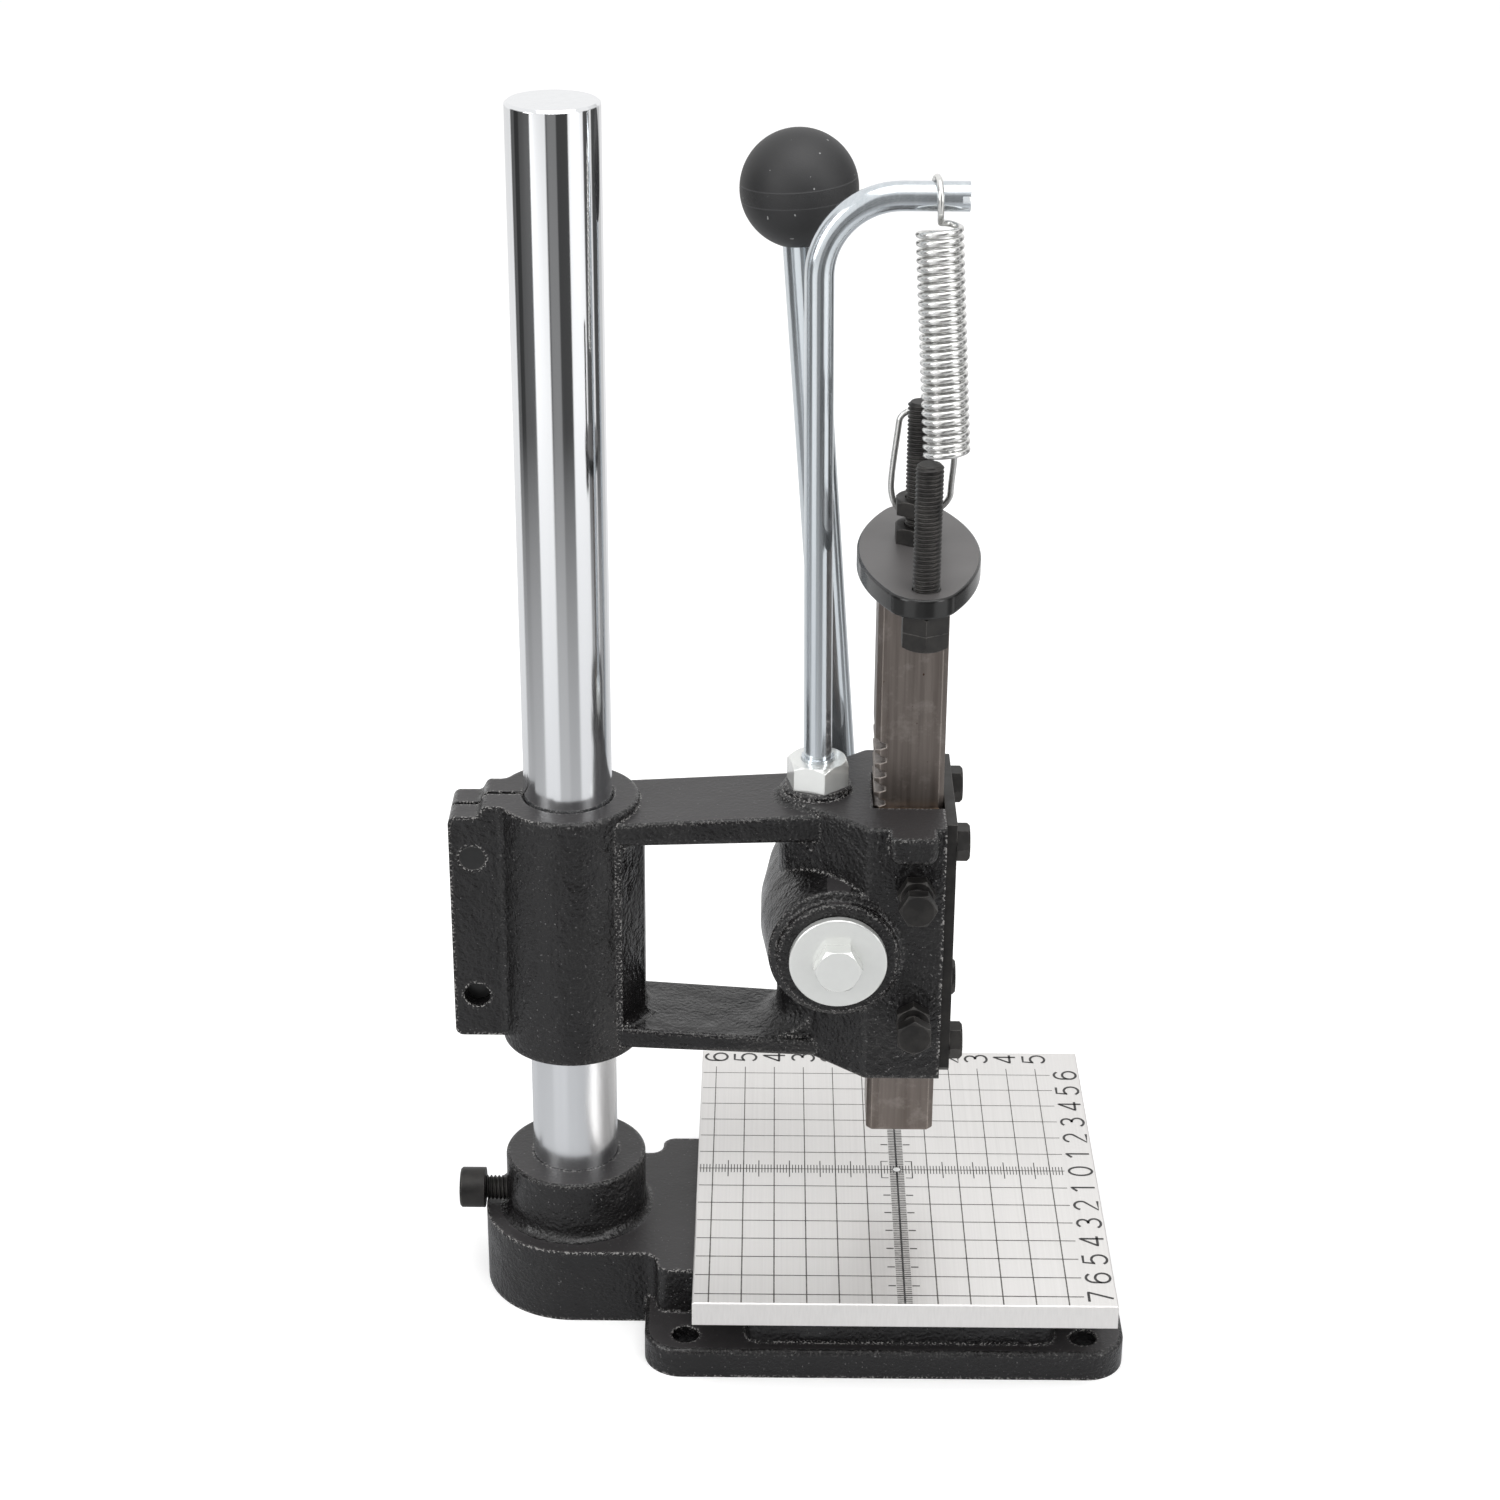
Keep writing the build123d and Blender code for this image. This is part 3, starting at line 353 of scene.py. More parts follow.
# %% Bright metals
def make_bright(name, colour, streak, rough, lines, depth, metal=1.0, film=None):
    """A bare or plated metal with fine lines, given as noise scales along X, Y and Z.

    Its rough is a pair, from the smoothest to the dullest line. A film of oil adds its own
    dullness at a low height, which fades to none at a high one.
    """
    finish, tree, shader = new_finish(name)
    scales = dict(zip(("Along_X", "Along_Y", "Along_Z"), lines))
    fine = use_group(tree, drawn_lines, **scales).outputs["Lines"]
    edge = use_group(tree, edge_wear_and_glint, Radius=0.0004, Gain=4.0)
    base = mix_colour(tree, fine, streak, colour)
    dullness = spread_value(tree, fine, *rough, 0.3, 0.7)
    if film:
        dull, low, high = film
        oil = spread_value(tree, object_height(tree), dull, 0.0, low, high)
        dullness = number_sum(tree, "ADD", dullness, oil)
    normal = add_bump(tree, 0.4, depth, fine, edge.outputs["Normal"])
    made = {"Base Color": base, "Roughness": dullness, "Metallic": metal, "Normal": normal}
    join(tree, shader, made)
    return finish


chrome = make_bright("chromed_column", (0.86, 0.87, 0.885), (0.79, 0.80, 0.815), (0.03, 0.08),
                     (500, 500, 9), 0.000004, film=(0.17, 0.07, 0.34))
bright_zinc = make_bright("bright_zinc", (0.87, 0.88, 0.86), (0.79, 0.80, 0.78), (0.14, 0.24),
                          (260, 260, 260), 0.00002, 0.6)
zinc = make_bright("zinc_plate", (0.76, 0.80, 0.83), (0.60, 0.64, 0.68), (0.16, 0.34),
                   (420, 420, 420), 0.00003, 0.8)
zinc_rod = make_bright("zinc_plated_bar", (0.74, 0.78, 0.81), (0.52, 0.565, 0.605), (0.09, 0.22),
                       (520, 520, 14), 0.00003, 0.9)
spring_wire = make_bright("spring_wire", (0.82, 0.82, 0.81), (0.66, 0.66, 0.64), (0.14, 0.26),
                          (900, 900, 900), 0.00002, 0.85)
plate_steel = make_bright("brushed_plate", (0.85, 0.835, 0.82), (0.71, 0.695, 0.68), (0.32, 0.46),
                          (1500, 14, 200), 0.00003, 0.6)

dress(chrome, "column")
dress(zinc_rod, "spring_hanger", "lever_rod")
dress(zinc, "lever_hub")
dress(bright_zinc, "hanger_lock_nut", "pinion_washer", "pinion_end_bolt")
dress(plate_steel, "work_plate")

# %% [markdown]
# ## Dark steel
#
# Most screws, nuts and the cover are blackened, and one recipe makes them: a base colour, blotches,
# and an edge colour that shows where the edge group finds an edge. The clamp's two bolts got the
# castings' black paint. The ram is bare steel that has gone brown-grey in oil, with bright corners
# where it slides, so it has a recipe of its own with lines along its travel.


# %% Dark metals
def make_dark(name, colour, blotch, edge_colour, rough, metal):
    """Blackened, painted or worn metal: blotches of two colours, and edges worn where blotched."""
    finish, tree, shader = new_finish(name)
    cloud = noise(tree, object_place(tree), 160.0, 6.0, 0.65)
    edge = use_group(tree, edge_wear_and_glint, Radius=0.0004, Gain=5.0)
    amount = spread_value(tree, cloud, 0.0, 1.0, 0.38, 0.64)
    mottled = mix_colour(tree, amount, colour, blotch)
    wear = number_sum(tree, "MULTIPLY", edge.outputs["Edge"], amount)
    join(tree, shader, {
        "Base Color": mix_colour(tree, wear, mottled, edge_colour),
        "Roughness": spread_value(tree, cloud, *rough, 0.35, 0.65),
        "Metallic": metal,
        "Normal": add_bump(tree, 0.25, 0.0002, cloud, edge.outputs["Normal"]),
    })
    return finish


black_oxide = make_dark("black_oxide", (0.022, 0.021, 0.0205), (0.038, 0.036, 0.034),
                        (0.20, 0.19, 0.18), (0.35, 0.55), 0.6)
painted_black = make_dark("painted_black", (0.006, 0.006, 0.006), (0.012, 0.012, 0.012),
                          (0.25, 0.24, 0.23), (0.28, 0.40), 0.0)

# %% The ram's steel
ram_colours = {
    "line": (0.192, 0.164, 0.148), "steel": (0.250, 0.217, 0.197), "oil": (0.135, 0.112, 0.098),
    "rubbed": (0.36, 0.325, 0.30), "rust": (0.085, 0.052, 0.038), "corner": (0.50, 0.45, 0.41),
}
few_specks = 0.765   # noise above this is rust


def make_ram_steel():
    """Bare steel, brown with old oil: fine lines the way the ram slides, and a few rust specks."""
    finish, tree, shader = new_finish("oiled_ram_steel")
    place = object_place(tree)
    fine = use_group(tree, drawn_lines, Along_X=650.0, Along_Y=650.0, Along_Z=16.0).outputs["Lines"]
    broad = use_group(tree, drawn_lines, Along_X=90.0, Along_Y=90.0, Along_Z=12.0).outputs["Lines"]
    edge = use_group(tree, edge_wear_and_glint, Radius=0.0007, Gain=5.0)
    between_lines = spread_value(tree, fine, 0.0, 1.0, 0.35, 0.65)
    colour = mix_colour(tree, between_lines, ram_colours["line"], ram_colours["steel"])
    oily = spread_value(tree, broad, 0.0, 0.75, 0.50, 0.68)
    colour = mix_colour(tree, oily, colour, ram_colours["oil"])
    rubbed = spread_value(tree, noise(tree, place, 110.0, 5.0, 0.7), 0.0, 0.8, 0.52, 0.72)
    colour = mix_colour(tree, rubbed, colour, ram_colours["rubbed"])
    rust = number_sum(tree, "GREATER_THAN", noise(tree, place, 420.0, 1.0), few_specks)
    colour = mix_colour(tree, rust, colour, ram_colours["rust"])
    join(tree, shader, {
        "Base Color": mix_colour(tree, edge.outputs["Edge"], colour, ram_colours["corner"]),
        "Roughness": spread_value(tree, fine, 0.26, 0.46, 0.3, 0.7),
        "Metallic": 0.85,
        "Normal": add_bump(tree, 0.3, 0.00003, fine, edge.outputs["Normal"]),
    })
    return finish


oiled_steel = make_ram_steel()
gib_metal = make_dark("worn_gib", (0.16, 0.12, 0.09), (0.30, 0.22, 0.15), (0.70, 0.55, 0.38),
                      (0.30, 0.50), 0.9)

dress(black_oxide, "plate_screws", "column_lock_screw", "front_cover_plate", "cover_bolts",
      "gib_adjusting_bolts", "gib_lock_nuts", "hub_set_screw", "ram_stud", "stud_lower_nut",
      "stud_upper_nut", "stop_lock_nut", "stop_screw")
dress(oiled_steel, "ram", "pinion_shaft")
dress(gib_metal, "side_gib")
dress(painted_black, "clamp_bolts")

# %% [markdown]
# ## The oval plate on the ram
#
# The plate that carries the stud is black too, but its flat top shows a plain grey, which is a
# painted sheen for the sky it mirrors. The grey could be a second material on the top's faces. A
# mask is simpler: where the surface faces straight up the painted grey shows, and the rim keeps its
# gloss.

# %% Oval plate
rim_black = (0.010, 0.010, 0.010)


def make_rubbed_black():
    """Glossy black, and where the face is level a cloudy grey painted sheen, twice as rough."""
    finish, tree, shader = new_finish("black_plate_sheen_top")
    cloud = noise(tree, object_place(tree), 90.0, 4.0)
    edge = use_group(tree, edge_wear_and_glint, Radius=0.0007, Gain=5.0)
    # level faces get a painted grey sheen for the sky they mirror, and are rougher
    rubbed = level_faces(tree)
    grey = mix_colour(tree, cloud, (0.085, 0.08, 0.08), (0.115, 0.11, 0.108))
    join(tree, shader, {
        "Base Color": mix_colour(tree, rubbed, rim_black, grey),
        "Roughness": spread_value(tree, rubbed, 0.20, 0.40),
        "Normal": edge.outputs["Normal"],
    })
    return finish


dress(make_rubbed_black(), "ram_top_plate")

# %% [markdown]
# ## The ball on the lever
#
# The knob is moulded in a hard matte plastic. Where the mould's halves met there are two fine
# ridges with a rougher strip between them. They are low enough to be drawn by the bump: the
# distance from the seam's plane, measured along the lever, says where they lie.

# %% Knob
seam_below = 0.0002    # metres from the ball's middle to the seam, towards the pinion
seam_half = 0.0024     # metres from the seam to each ridge
ridge_width = 0.00030  # metres over which a ridge fades
few_dust = 0.865       # noise above this is dust


def middle(node):
    """The middle of a part's box."""
    low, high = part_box(node)
    return (np.array(low) + np.array(high)) / 2


def make_knob_plastic():
    """Matte plastic; a ridge is 1 at its distance from the seam, and fades to 0 beside it."""
    finish, tree, shader = new_finish("knob_plastic")
    place = object_place(tree)
    ball = middle("lever_knob")
    lever_way = ball - middle("lever_rod")
    lever_way /= np.linalg.norm(lever_way)
    from_seam = vector_sum(tree, "SUBTRACT", place, tuple(ball - lever_way * seam_below))
    along = vector_sum(tree, "DOT_PRODUCT", from_seam, tuple(lever_way))
    off = number_sum(tree, "ABSOLUTE", along)
    beside = number_sum(tree, "ABSOLUTE", number_sum(tree, "SUBTRACT", off, seam_half))
    ridge = spread_value(tree, beside, 1.0, 0.0, 0.0, ridge_width)
    between = number_sum(tree, "LESS_THAN", off, seam_half)
    grain = noise(tree, place, 2600.0, 1.0)
    cloud = noise(tree, place, 60.0, 3.0)
    dust = number_sum(tree, "GREATER_THAN", noise(tree, place, 900.0, 0.0), few_dust)
    body = mix_colour(tree, cloud, (0.018, 0.018, 0.019), (0.028, 0.028, 0.029))
    body = mix_colour(tree, ridge, body, (0.05, 0.05, 0.052))
    colour = mix_colour(tree, dust, body, (0.30, 0.30, 0.30))
    rough = spread_value(tree, cloud, 0.48, 0.60)
    rougher = number_sum(tree, "MULTIPLY_ADD", between, grain, ridge)
    height = number_sum(tree, "MULTIPLY_ADD", grain, 0.35, rougher)
    normal = add_bump(tree, 0.6, 0.00015, height)
    join(tree, shader, {"Base Color": colour, "Roughness": rough, "Normal": normal})
    return finish


dress(make_knob_plastic(), "lever_knob")

# %% [markdown]
# ## Surfaces from formulas
#
# Screw threads and the spring are surfaces over a grid of two parameters: how far along, and how
# far round. numpy works out the whole grid at once, and one helper turns it into a mesh.


# %% Grid to mesh
def grid_faces(rows, columns, closed_round=True):
    """Four corners for each cell of a grid; the last column joins the first one if closed."""
    count = columns if closed_round else columns - 1
    row, column = np.meshgrid(np.arange(rows - 1), np.arange(count), indexing="ij")
    beside = (column + 1) % columns
    corners = [row * columns + column, row * columns + beside,
               (row + 1) * columns + beside, (row + 1) * columns + column]
    return np.stack(corners, axis=-1).reshape(-1, 4)


def capped_tube_faces(rows, columns):
    """The grid's cells and one many-sided face at each end."""
    faces = grid_faces(rows, columns).tolist()
    faces.append(list(range(columns))[::-1])
    faces.append([(rows - 1) * columns + column for column in range(columns)])
    return faces


def make_piece(name, points, faces, finish, body, smooth=False):
    """A mesh piece from points in metres and lists of corners, riding on a body if one is named."""
    mesh = bpy.data.meshes.new(name)
    corners = [list(map(int, face)) for face in faces]
    mesh.from_pydata(np.asarray(points, float).tolist(), [], corners)
    mesh.polygons.foreach_set("use_smooth", np.full(len(mesh.polygons), smooth))
    mesh.materials.append(finish)
    mesh.update()
    piece = add_object(name, mesh)
    if body:
        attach(piece, body)
    print(name, len(points), "points")
    return piece


# %% [markdown]
# ## Screws with real threads
#
# A thread is a cylinder whose radius rises and falls as it climbs: at height z and angle a the
# radius is the outside radius less the thread's depth times a zigzag of (z / pitch - a / one turn).
# Heads are rings of points as well: a hexagon's rim lies at half the width across its flats over
# the cosine of the angle from the nearest flat's middle, and a socket is such a rim turned inwards.
# A bump could fake the threads, but their outline shows, so they are modelled.

# %% Threads and heads
thread_sides = 32     # points round a thread
thread_rows = 8       # rings for each turn
thread_depth = 0.55   # of the pitch
thread_flat = 0.12    # of half a pitch, at crest and root
thread_tip = 0.0009   # metres by which the far end is drawn in
ring_sides = 60       # points round a head
crown_share = 0.95    # of a hexagon's half width: the circle at the top of its crown
crown_fall = 0.6      # how steeply the crown drops outside that circle
socket_rim = 0.0003   # metres of chamfer round a socket


def circle_angles(count):
    """Angles of so many points round one turn, in radians."""
    return np.linspace(0, 2 * np.pi, count, endpoint=False)


def round_points(reach, angle, z):
    """Points (reach * cos, reach * sin, z), row by row."""
    return np.stack([reach * np.cos(angle), reach * np.sin(angle), z], axis=-1).reshape(-1, 3)


def thread_shape(radius, pitch, length):
    """Rows up z of radius R - depth * zigzag(z / pitch - angle), drawn in at the far end."""
    rows = int(length / pitch * thread_rows) + 1
    z = np.linspace(0, length, rows)[:, None]
    angle = circle_angles(thread_sides)[None, :]
    turn = z / pitch - angle / (2 * np.pi)
    zigzag = np.abs(2 * (turn - np.floor(turn)) - 1)
    zigzag = np.clip((zigzag - thread_flat) / (1 - 2 * thread_flat), 0, 1)
    drawn_in = radius - thread_tip + (length - z)
    reach = np.minimum(radius - thread_depth * pitch * zigzag, drawn_in)
    height = np.broadcast_to(z, reach.shape)
    return round_points(reach, angle, height), capped_tube_faces(rows, thread_sides)


def hexagon_rim(flats, turned):
    """From the axis to a hexagon's side: half its flats / cos(angle from a flat's middle)."""
    from_middle = (circle_angles(ring_sides) - math.radians(turned)) % (np.pi / 3) - np.pi / 6
    return flats / 2 / np.cos(from_middle)


def ringed_shape(rings):
    """A solid from rings of points: each is a radius and a height, both plain or by angle."""
    angle = circle_angles(ring_sides)
    reach = np.array([np.broadcast_to(radius, ring_sides) for radius, _ in rings])
    z = np.array([np.broadcast_to(height, ring_sides) for _, height in rings])
    return round_points(reach, angle, z), capped_tube_faces(len(rings), ring_sides)


def hexagon_head(flats, height, turned):
    """Rim, then a crown that drops in step with how far the rim lies outside the crown's circle."""
    rim = hexagon_rim(flats, turned)
    crown = crown_share * flats / 2
    return ringed_shape([(rim, 0), (rim, height - crown_fall * (rim - crown)), (crown, height)])


def socket_head(diameter, height, flats, deep, edge=0.0006):
    """A round head with a chamfered edge, and a hexagonal rim turned down into it."""
    rim = hexagon_rim(flats, 0)
    radius = diameter / 2
    return ringed_shape([
        (radius, 0), (radius, height - edge), (radius - edge, height),
        (rim + socket_rim, height), (rim, height - socket_rim), (rim, height - deep),
    ])


# %% Joining shapes and standing them in place
upright = ((1, 0, 0), (0, 1, 0), (0, 0, 1))
head_down = ((1, 0, 0), (0, -1, 0), (0, 0, -1))
to_the_right = ((1, 0, 0), (0, 0, 1), (0, -1, 0))
to_the_back = ((0, 0, 1), (0, 1, 0), (-1, 0, 0))


def joined(shapes):
    """Several shapes as one list of points and faces."""
    points, faces = [], []
    for shape_points, shape_faces in shapes:
        shift = sum(len(part) for part in points)
        points.append(shape_points)
        faces += [[corner + shift for corner in face] for face in shape_faces]
    return np.concatenate(points), faces


def stand(shape, place, ways):
    """Place + x * first way + y * second way + z * third way."""
    points, faces = shape
    return np.array(place) + points @ np.array(ways, float), faces


def bolt_shape(head, thread):
    """A head above the origin and a thread below it, turned over about X."""
    points, faces = thread
    return joined([head, (points * [1, -1, -1], faces)])


# %% Stud, stop screw, side screws and lock screw
m8_radius, m8_pitch = 4 * mm, 1.25 * mm
m6_radius, m6_pitch = 3 * mm, 1 * mm
stud_radius = 0.00398                       # a hair under that of an M8 screw
stop_flats, stop_head = 13 * mm, 5.3 * mm   # across the head's flats, and its height
side_flats, side_head = 10 * mm, 4 * mm
lock_width, lock_head = 13 * mm, 8 * mm     # across the round head, and its height
lock_socket, lock_deep = 6 * mm, 4 * mm     # across the socket's flats, and its depth
flat_at_y, corner_at_y = 0, 30              # degrees by which a hexagon's rim is turned


def screw_piece(name, shape, node, body):
    piece = make_piece(name, *shape, black_oxide, body)
    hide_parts(node)


def dress_stud():
    low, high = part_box("ram_stud")
    x, y, _ = middle("ram_stud")
    thread = thread_shape(stud_radius, m8_pitch, high[2] - low[2])
    screw_piece("threaded_stud", stand(thread, (x, y, low[2]), upright), "ram_stud", "ram")


def dress_stop_screw():
    low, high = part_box("stop_screw")
    x, y, _ = middle("stop_screw")
    thread = thread_shape(m8_radius, m8_pitch, high[2] - low[2] - stop_head)
    bolt = bolt_shape(hexagon_head(stop_flats, stop_head, corner_at_y), thread)
    bolt = stand(bolt, (x, y, low[2] + stop_head), head_down)
    screw_piece("threaded_stop_screw", bolt, "stop_screw", "stop")


def dress_side_screws():
    """The lower screw's head stands on a corner and the upper one's on a flat."""
    low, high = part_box("gib_adjusting_bolts")
    x = middle("gib_adjusting_bolts")[0]
    to_flat = side_flats / 2
    to_corner = to_flat / math.cos(math.pi / 6)
    bolts = []
    for z, turned in ((low[2] + to_corner, corner_at_y), (high[2] - to_flat, flat_at_y)):
        thread = thread_shape(m6_radius, m6_pitch, high[1] - low[1] - side_head)
        bolt = bolt_shape(hexagon_head(side_flats, side_head, turned), thread)
        bolts.append(stand(bolt, (x, low[1] + side_head, z), to_the_right))
    screw_piece("threaded_side_screws", joined(bolts), "gib_adjusting_bolts", "head")


def dress_lock_screw():
    low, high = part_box("column_lock_screw")
    _, y, z = middle("column_lock_screw")
    thread = thread_shape(m8_radius, m8_pitch, high[0] - low[0] - lock_head)
    bolt = bolt_shape(socket_head(lock_width, lock_head, lock_socket, lock_deep), thread)
    bolt = stand(bolt, (low[0] + lock_head, y, z), to_the_back)
    screw_piece("threaded_lock_screw", bolt, "column_lock_screw", "base")


dress_stud()
dress_stop_screw()
dress_side_screws()
dress_lock_screw()

# %% [markdown]
# ## The printed scale
#
# The plate is printed with a centimetre grid, a ruler in millimetres and numbers that count out
# from the middle. An image would be the quick way. Strips of faces a hair above the plate stay
# sharp from any distance, and each kind of mark is one mesh.

# %% Where the print lies
plate_low, plate_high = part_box("work_plate")
print_zero = ((plate_low[0] + plate_high[0]) / 2, (plate_low[1] + plate_high[1]) / 2)
print_level = plate_high[2] + 0.00003   # the grid; what is printed later lies a little higher
ruler_level = print_level + 0.00001
number_level = print_level + 0.00002
middle_level = print_level + 0.00003
print_margin = 0.0006
plate_left = plate_low[0] - print_zero[0] + print_margin
plate_front = plate_low[1] - print_zero[1] + print_margin
plate_back = 0.064
plate_right = 0.0548
print("print: X", plate_left, "to", plate_right, "and Y", plate_front, "to", plate_back)


# %% Grid lines and ticks
def patches(x0, x1, y0, y1):
    """Rectangles on the plate, each from two distances along X and two along Y."""
    x0, x1, y0, y1 = np.broadcast_arrays(x0, x1, y0, y1)
    corners = [np.stack(corner, -1) for corner in ((x0, y0), (x1, y0), (x1, y1), (x0, y1))]
    return np.stack(corners, axis=1).reshape(-1, 4, 2)


def ticks(across, places, start, stop, width):
    """Marks of one width at several places along an axis, each from start to stop across it."""
    places = np.asarray(places, float)
    if across == "X":
        return patches(places - width / 2, places + width / 2, start, stop)
    return patches(start, stop, places - width / 2, places + width / 2)


def grid_lines():
    """Centimetre lines, wider the nearer they lie to the plate's front edge."""
    along_x = np.arange(-7, 7) * 0.01
    widths = 0.26 * mm + 0.18 * mm * (plate_back - along_x) / (plate_back - plate_front)
    across = patches(plate_left, plate_right, along_x - widths / 2, along_x + widths / 2)
    x = np.arange(-6, 6) * 0.01
    back, front = 0.13 * mm, 0.21 * mm
    ends = ((x - front, plate_front), (x + front, plate_front),
            (x + back, plate_back), (x - back, plate_back))
    along_y = np.stack([np.column_stack([side, np.full(len(x), y)]) for side, y in ends], axis=1)
    return np.concatenate([across, along_y])


def ruler_ticks():
    """Millimetre marks on both middle lines, longer ones each half centimetre, and the bracket."""
    fine, middling, broad, middle_line = 0.26 * mm, 0.3 * mm, 0.5 * mm, 0.62 * mm
    short, long = 2.35 * mm, 4.8 * mm
    from_ram_line = 2.5 * mm   # just past the band of marks under the ram
    bracket_side, bracket_half = 5 * mm, 4.9 * mm
    bracket_ends = (2.8 * mm, 5.1 * mm)
    steps = np.arange(-64, 55)
    right = steps * mm
    halves_right = right[steps % 5 == 0]
    halves_front = np.array([-65, -55, -45, -35, -25, -15, 15, 25, 35, 45, 55]) * mm
    marks = [
        ticks("X", right, -short, short, fine),
        ticks("X", halves_right, -long, long, middling),
        ticks("Y", halves_front, from_ram_line, long, broad),
        ticks("Y", halves_front, -long, -from_ram_line, broad),
        ticks("X", [0.0], plate_front, plate_back, middle_line),
    ]
    for side in (-1, 1):
        marks.append(ticks("X", [side * bracket_side], -bracket_half, bracket_half, middling))
        inner, outer = (side * end for end in bracket_ends)
        marks.append(ticks("Y", [-bracket_half, bracket_half], inner, outer, middling))
    return np.concatenate(marks)


def ram_line_ticks():
    """The millimetre marks under the ram are so broad that they read as a grey band."""
    return ticks("Y", np.arange(-74, 64) * mm, -2.3 * mm, 2.3 * mm, 0.6 * mm)


# %% Inks, and the lines printed
thin_factor, thin_extra = 2.2, 0.02


def make_ink(name, colour):
    """Ink with thinner patches, whose colour is the ink's times a factor, and a little more."""
    finish, tree, shader = new_finish(name)
    thin = noise(tree, object_place(tree), 900.0, 2.0)
    amount = spread_value(tree, thin, 0.0, 1.0, 0.45, 0.7)
    paler = tuple(min(1.0, channel * thin_factor + thin_extra) for channel in colour)
    join(tree, shader, {"Base Color": mix_colour(tree, amount, colour, paler), "Roughness": 0.5})
    return finish


def on_plate(flat, level):
    """Places of the printed grid as points in space."""
    flat = np.asarray(flat, float).reshape(-1, 2) + np.array(print_zero)
    return np.column_stack([flat, np.full(len(flat), level)])


def print_marks(name, marks, level, ink):
    """One piece from many rectangles."""
    faces = np.arange(len(marks) * 4).reshape(-1, 4)
    make_piece(name, on_plate(marks, level), faces, ink, "base")


line_ink = make_ink("line_ink", (0.065, 0.060, 0.056))
grey_ink = make_ink("grey_ink", (0.14, 0.135, 0.13))
dark_ink = make_ink("dark_ink", (0.020, 0.019, 0.019))
white_ink = make_ink("white_ink", (0.80, 0.80, 0.79))
print_marks("printed_grid", grid_lines(), print_level, line_ink)
print_marks("printed_band", ram_line_ticks(), print_level, grey_ink)
print_marks("printed_ruler", ruler_ticks(), ruler_level, dark_ink)

# %% Middle mark
dot_hole, dot_edge, ring_edge = 0.00001, 1.2 * mm, 1.4 * mm


def ring_on_plate(inner, outer, around=40):
    """Two circles of points, the inner and the outer radius times the cosine and sine."""
    angle = circle_angles(around)
    way = np.column_stack([np.cos(angle), np.sin(angle)])
    points = on_plate(np.concatenate([way * inner, way * outer]), middle_level)
    return points, grid_faces(2, around)[:, ::-1]


make_piece("middle_dot", *ring_on_plate(dot_hole, dot_edge), white_ink, "base")
make_piece("middle_ring", *ring_on_plate(dot_edge, ring_edge), dark_ink, "base")


# %% Figures as strokes
def arc(x, y, wide, high, start, stop, steps=14):
    """Centre + (width * cos, height * sin) from one angle in degrees to another."""
    angle = np.radians(np.linspace(start, stop, steps))
    return np.column_stack([x + wide * np.cos(angle), y + high * np.sin(angle)])


# Each figure is one or more strokes in a box 0.7 wide and 1 high.
strokes = {
    "0": [arc(0.35, 0.5, 0.33, 0.5, 90, 450, 28)],
    "1": [[(0.12, 0.78), (0.40, 1.0), (0.40, 0.0)]],
    "2": [np.concatenate([arc(0.35, 0.70, 0.31, 0.30, 165, -25), [(0.02, 0.0), (0.68, 0.0)]])],
    "3": [arc(0.33, 0.76, 0.28, 0.24, 150, -90), arc(0.33, 0.27, 0.34, 0.27, 90, -155)],
    "4": [[(0.52, 0.0), (0.52, 1.0), (0.02, 0.28), (0.70, 0.28)]],
    "5": [np.concatenate([[(0.62, 1.0), (0.12, 1.0), (0.06, 0.52)],
                          arc(0.33, 0.33, 0.34, 0.33, 130, -150)])],
    "6": [np.concatenate([arc(0.36, 0.66, 0.32, 0.34, 35, 175, 10),
                          arc(0.36, 0.31, 0.33, 0.31, 175, 535, 26)])],
    "7": [[(0.03, 1.0), (0.67, 1.0), (0.25, 0.0)]],
}
print("figures drawn:", *strokes)

# %% The numbers of the scale
figure_high = 7.5 * mm
figure_middle = 0.35     # of its height, half the box's width
stroke_width = 0.82 * mm
right_numbers = 0.0600   # metres from the middle to the row of numbers at the right
back_numbers = 0.0705    # and to the row at the back
most_corners = 8         # a path of more points than this is a curve


def stroke_points(path):
    """Two points beside each point of a path, half a width to the left and right of its way."""
    way = np.gradient(path, axis=0)
    way /= np.linalg.norm(way, axis=1)[:, None]
    beside = np.column_stack([-way[:, 1], way[:, 0]]) * stroke_width / 2
    return np.stack([path + beside, path - beside], axis=1).reshape(-1, 2)


def with_corners(path):
    """The path with two more points close beside each inner one, so that a corner stays sharp."""
    if len(path) > most_corners:
        return path
    step = np.diff(path, axis=0)
    step /= np.linalg.norm(step, axis=1)[:, None]
    before = path[1:-1] - step[:-1] * stroke_width / 3
    after = path[1:-1] + step[1:] * stroke_width / 3
    inner = np.stack([before, path[1:-1], after], axis=1).reshape(-1, 2)
    return np.concatenate([path[:1], inner, path[-1:]])


def number_mesh():
    """Every number of the scale: figures stand with their tops towards -X."""
    places = [(str(abs(step)), right_numbers, step * 0.01) for step in range(-7, 7)]
    places += [(str(abs(step)), step * 0.01, back_numbers) for step in range(-6, 6)]
    shapes = []
    for figure, x, y in places:
        for stroke in strokes[figure]:
            points = stroke_points(with_corners(np.asarray(stroke) * figure_high))
            turned = np.column_stack([x + figure_high / 2 - points[:, 1],
                                      y + points[:, 0] - figure_middle * figure_high])
            faces = grid_faces(len(points) // 2, 2, closed_round=False)
            shapes.append((on_plate(turned, number_level), faces.tolist()))
    return joined(shapes)


make_piece("printed_numbers", *number_mesh(), dark_ink, "base")
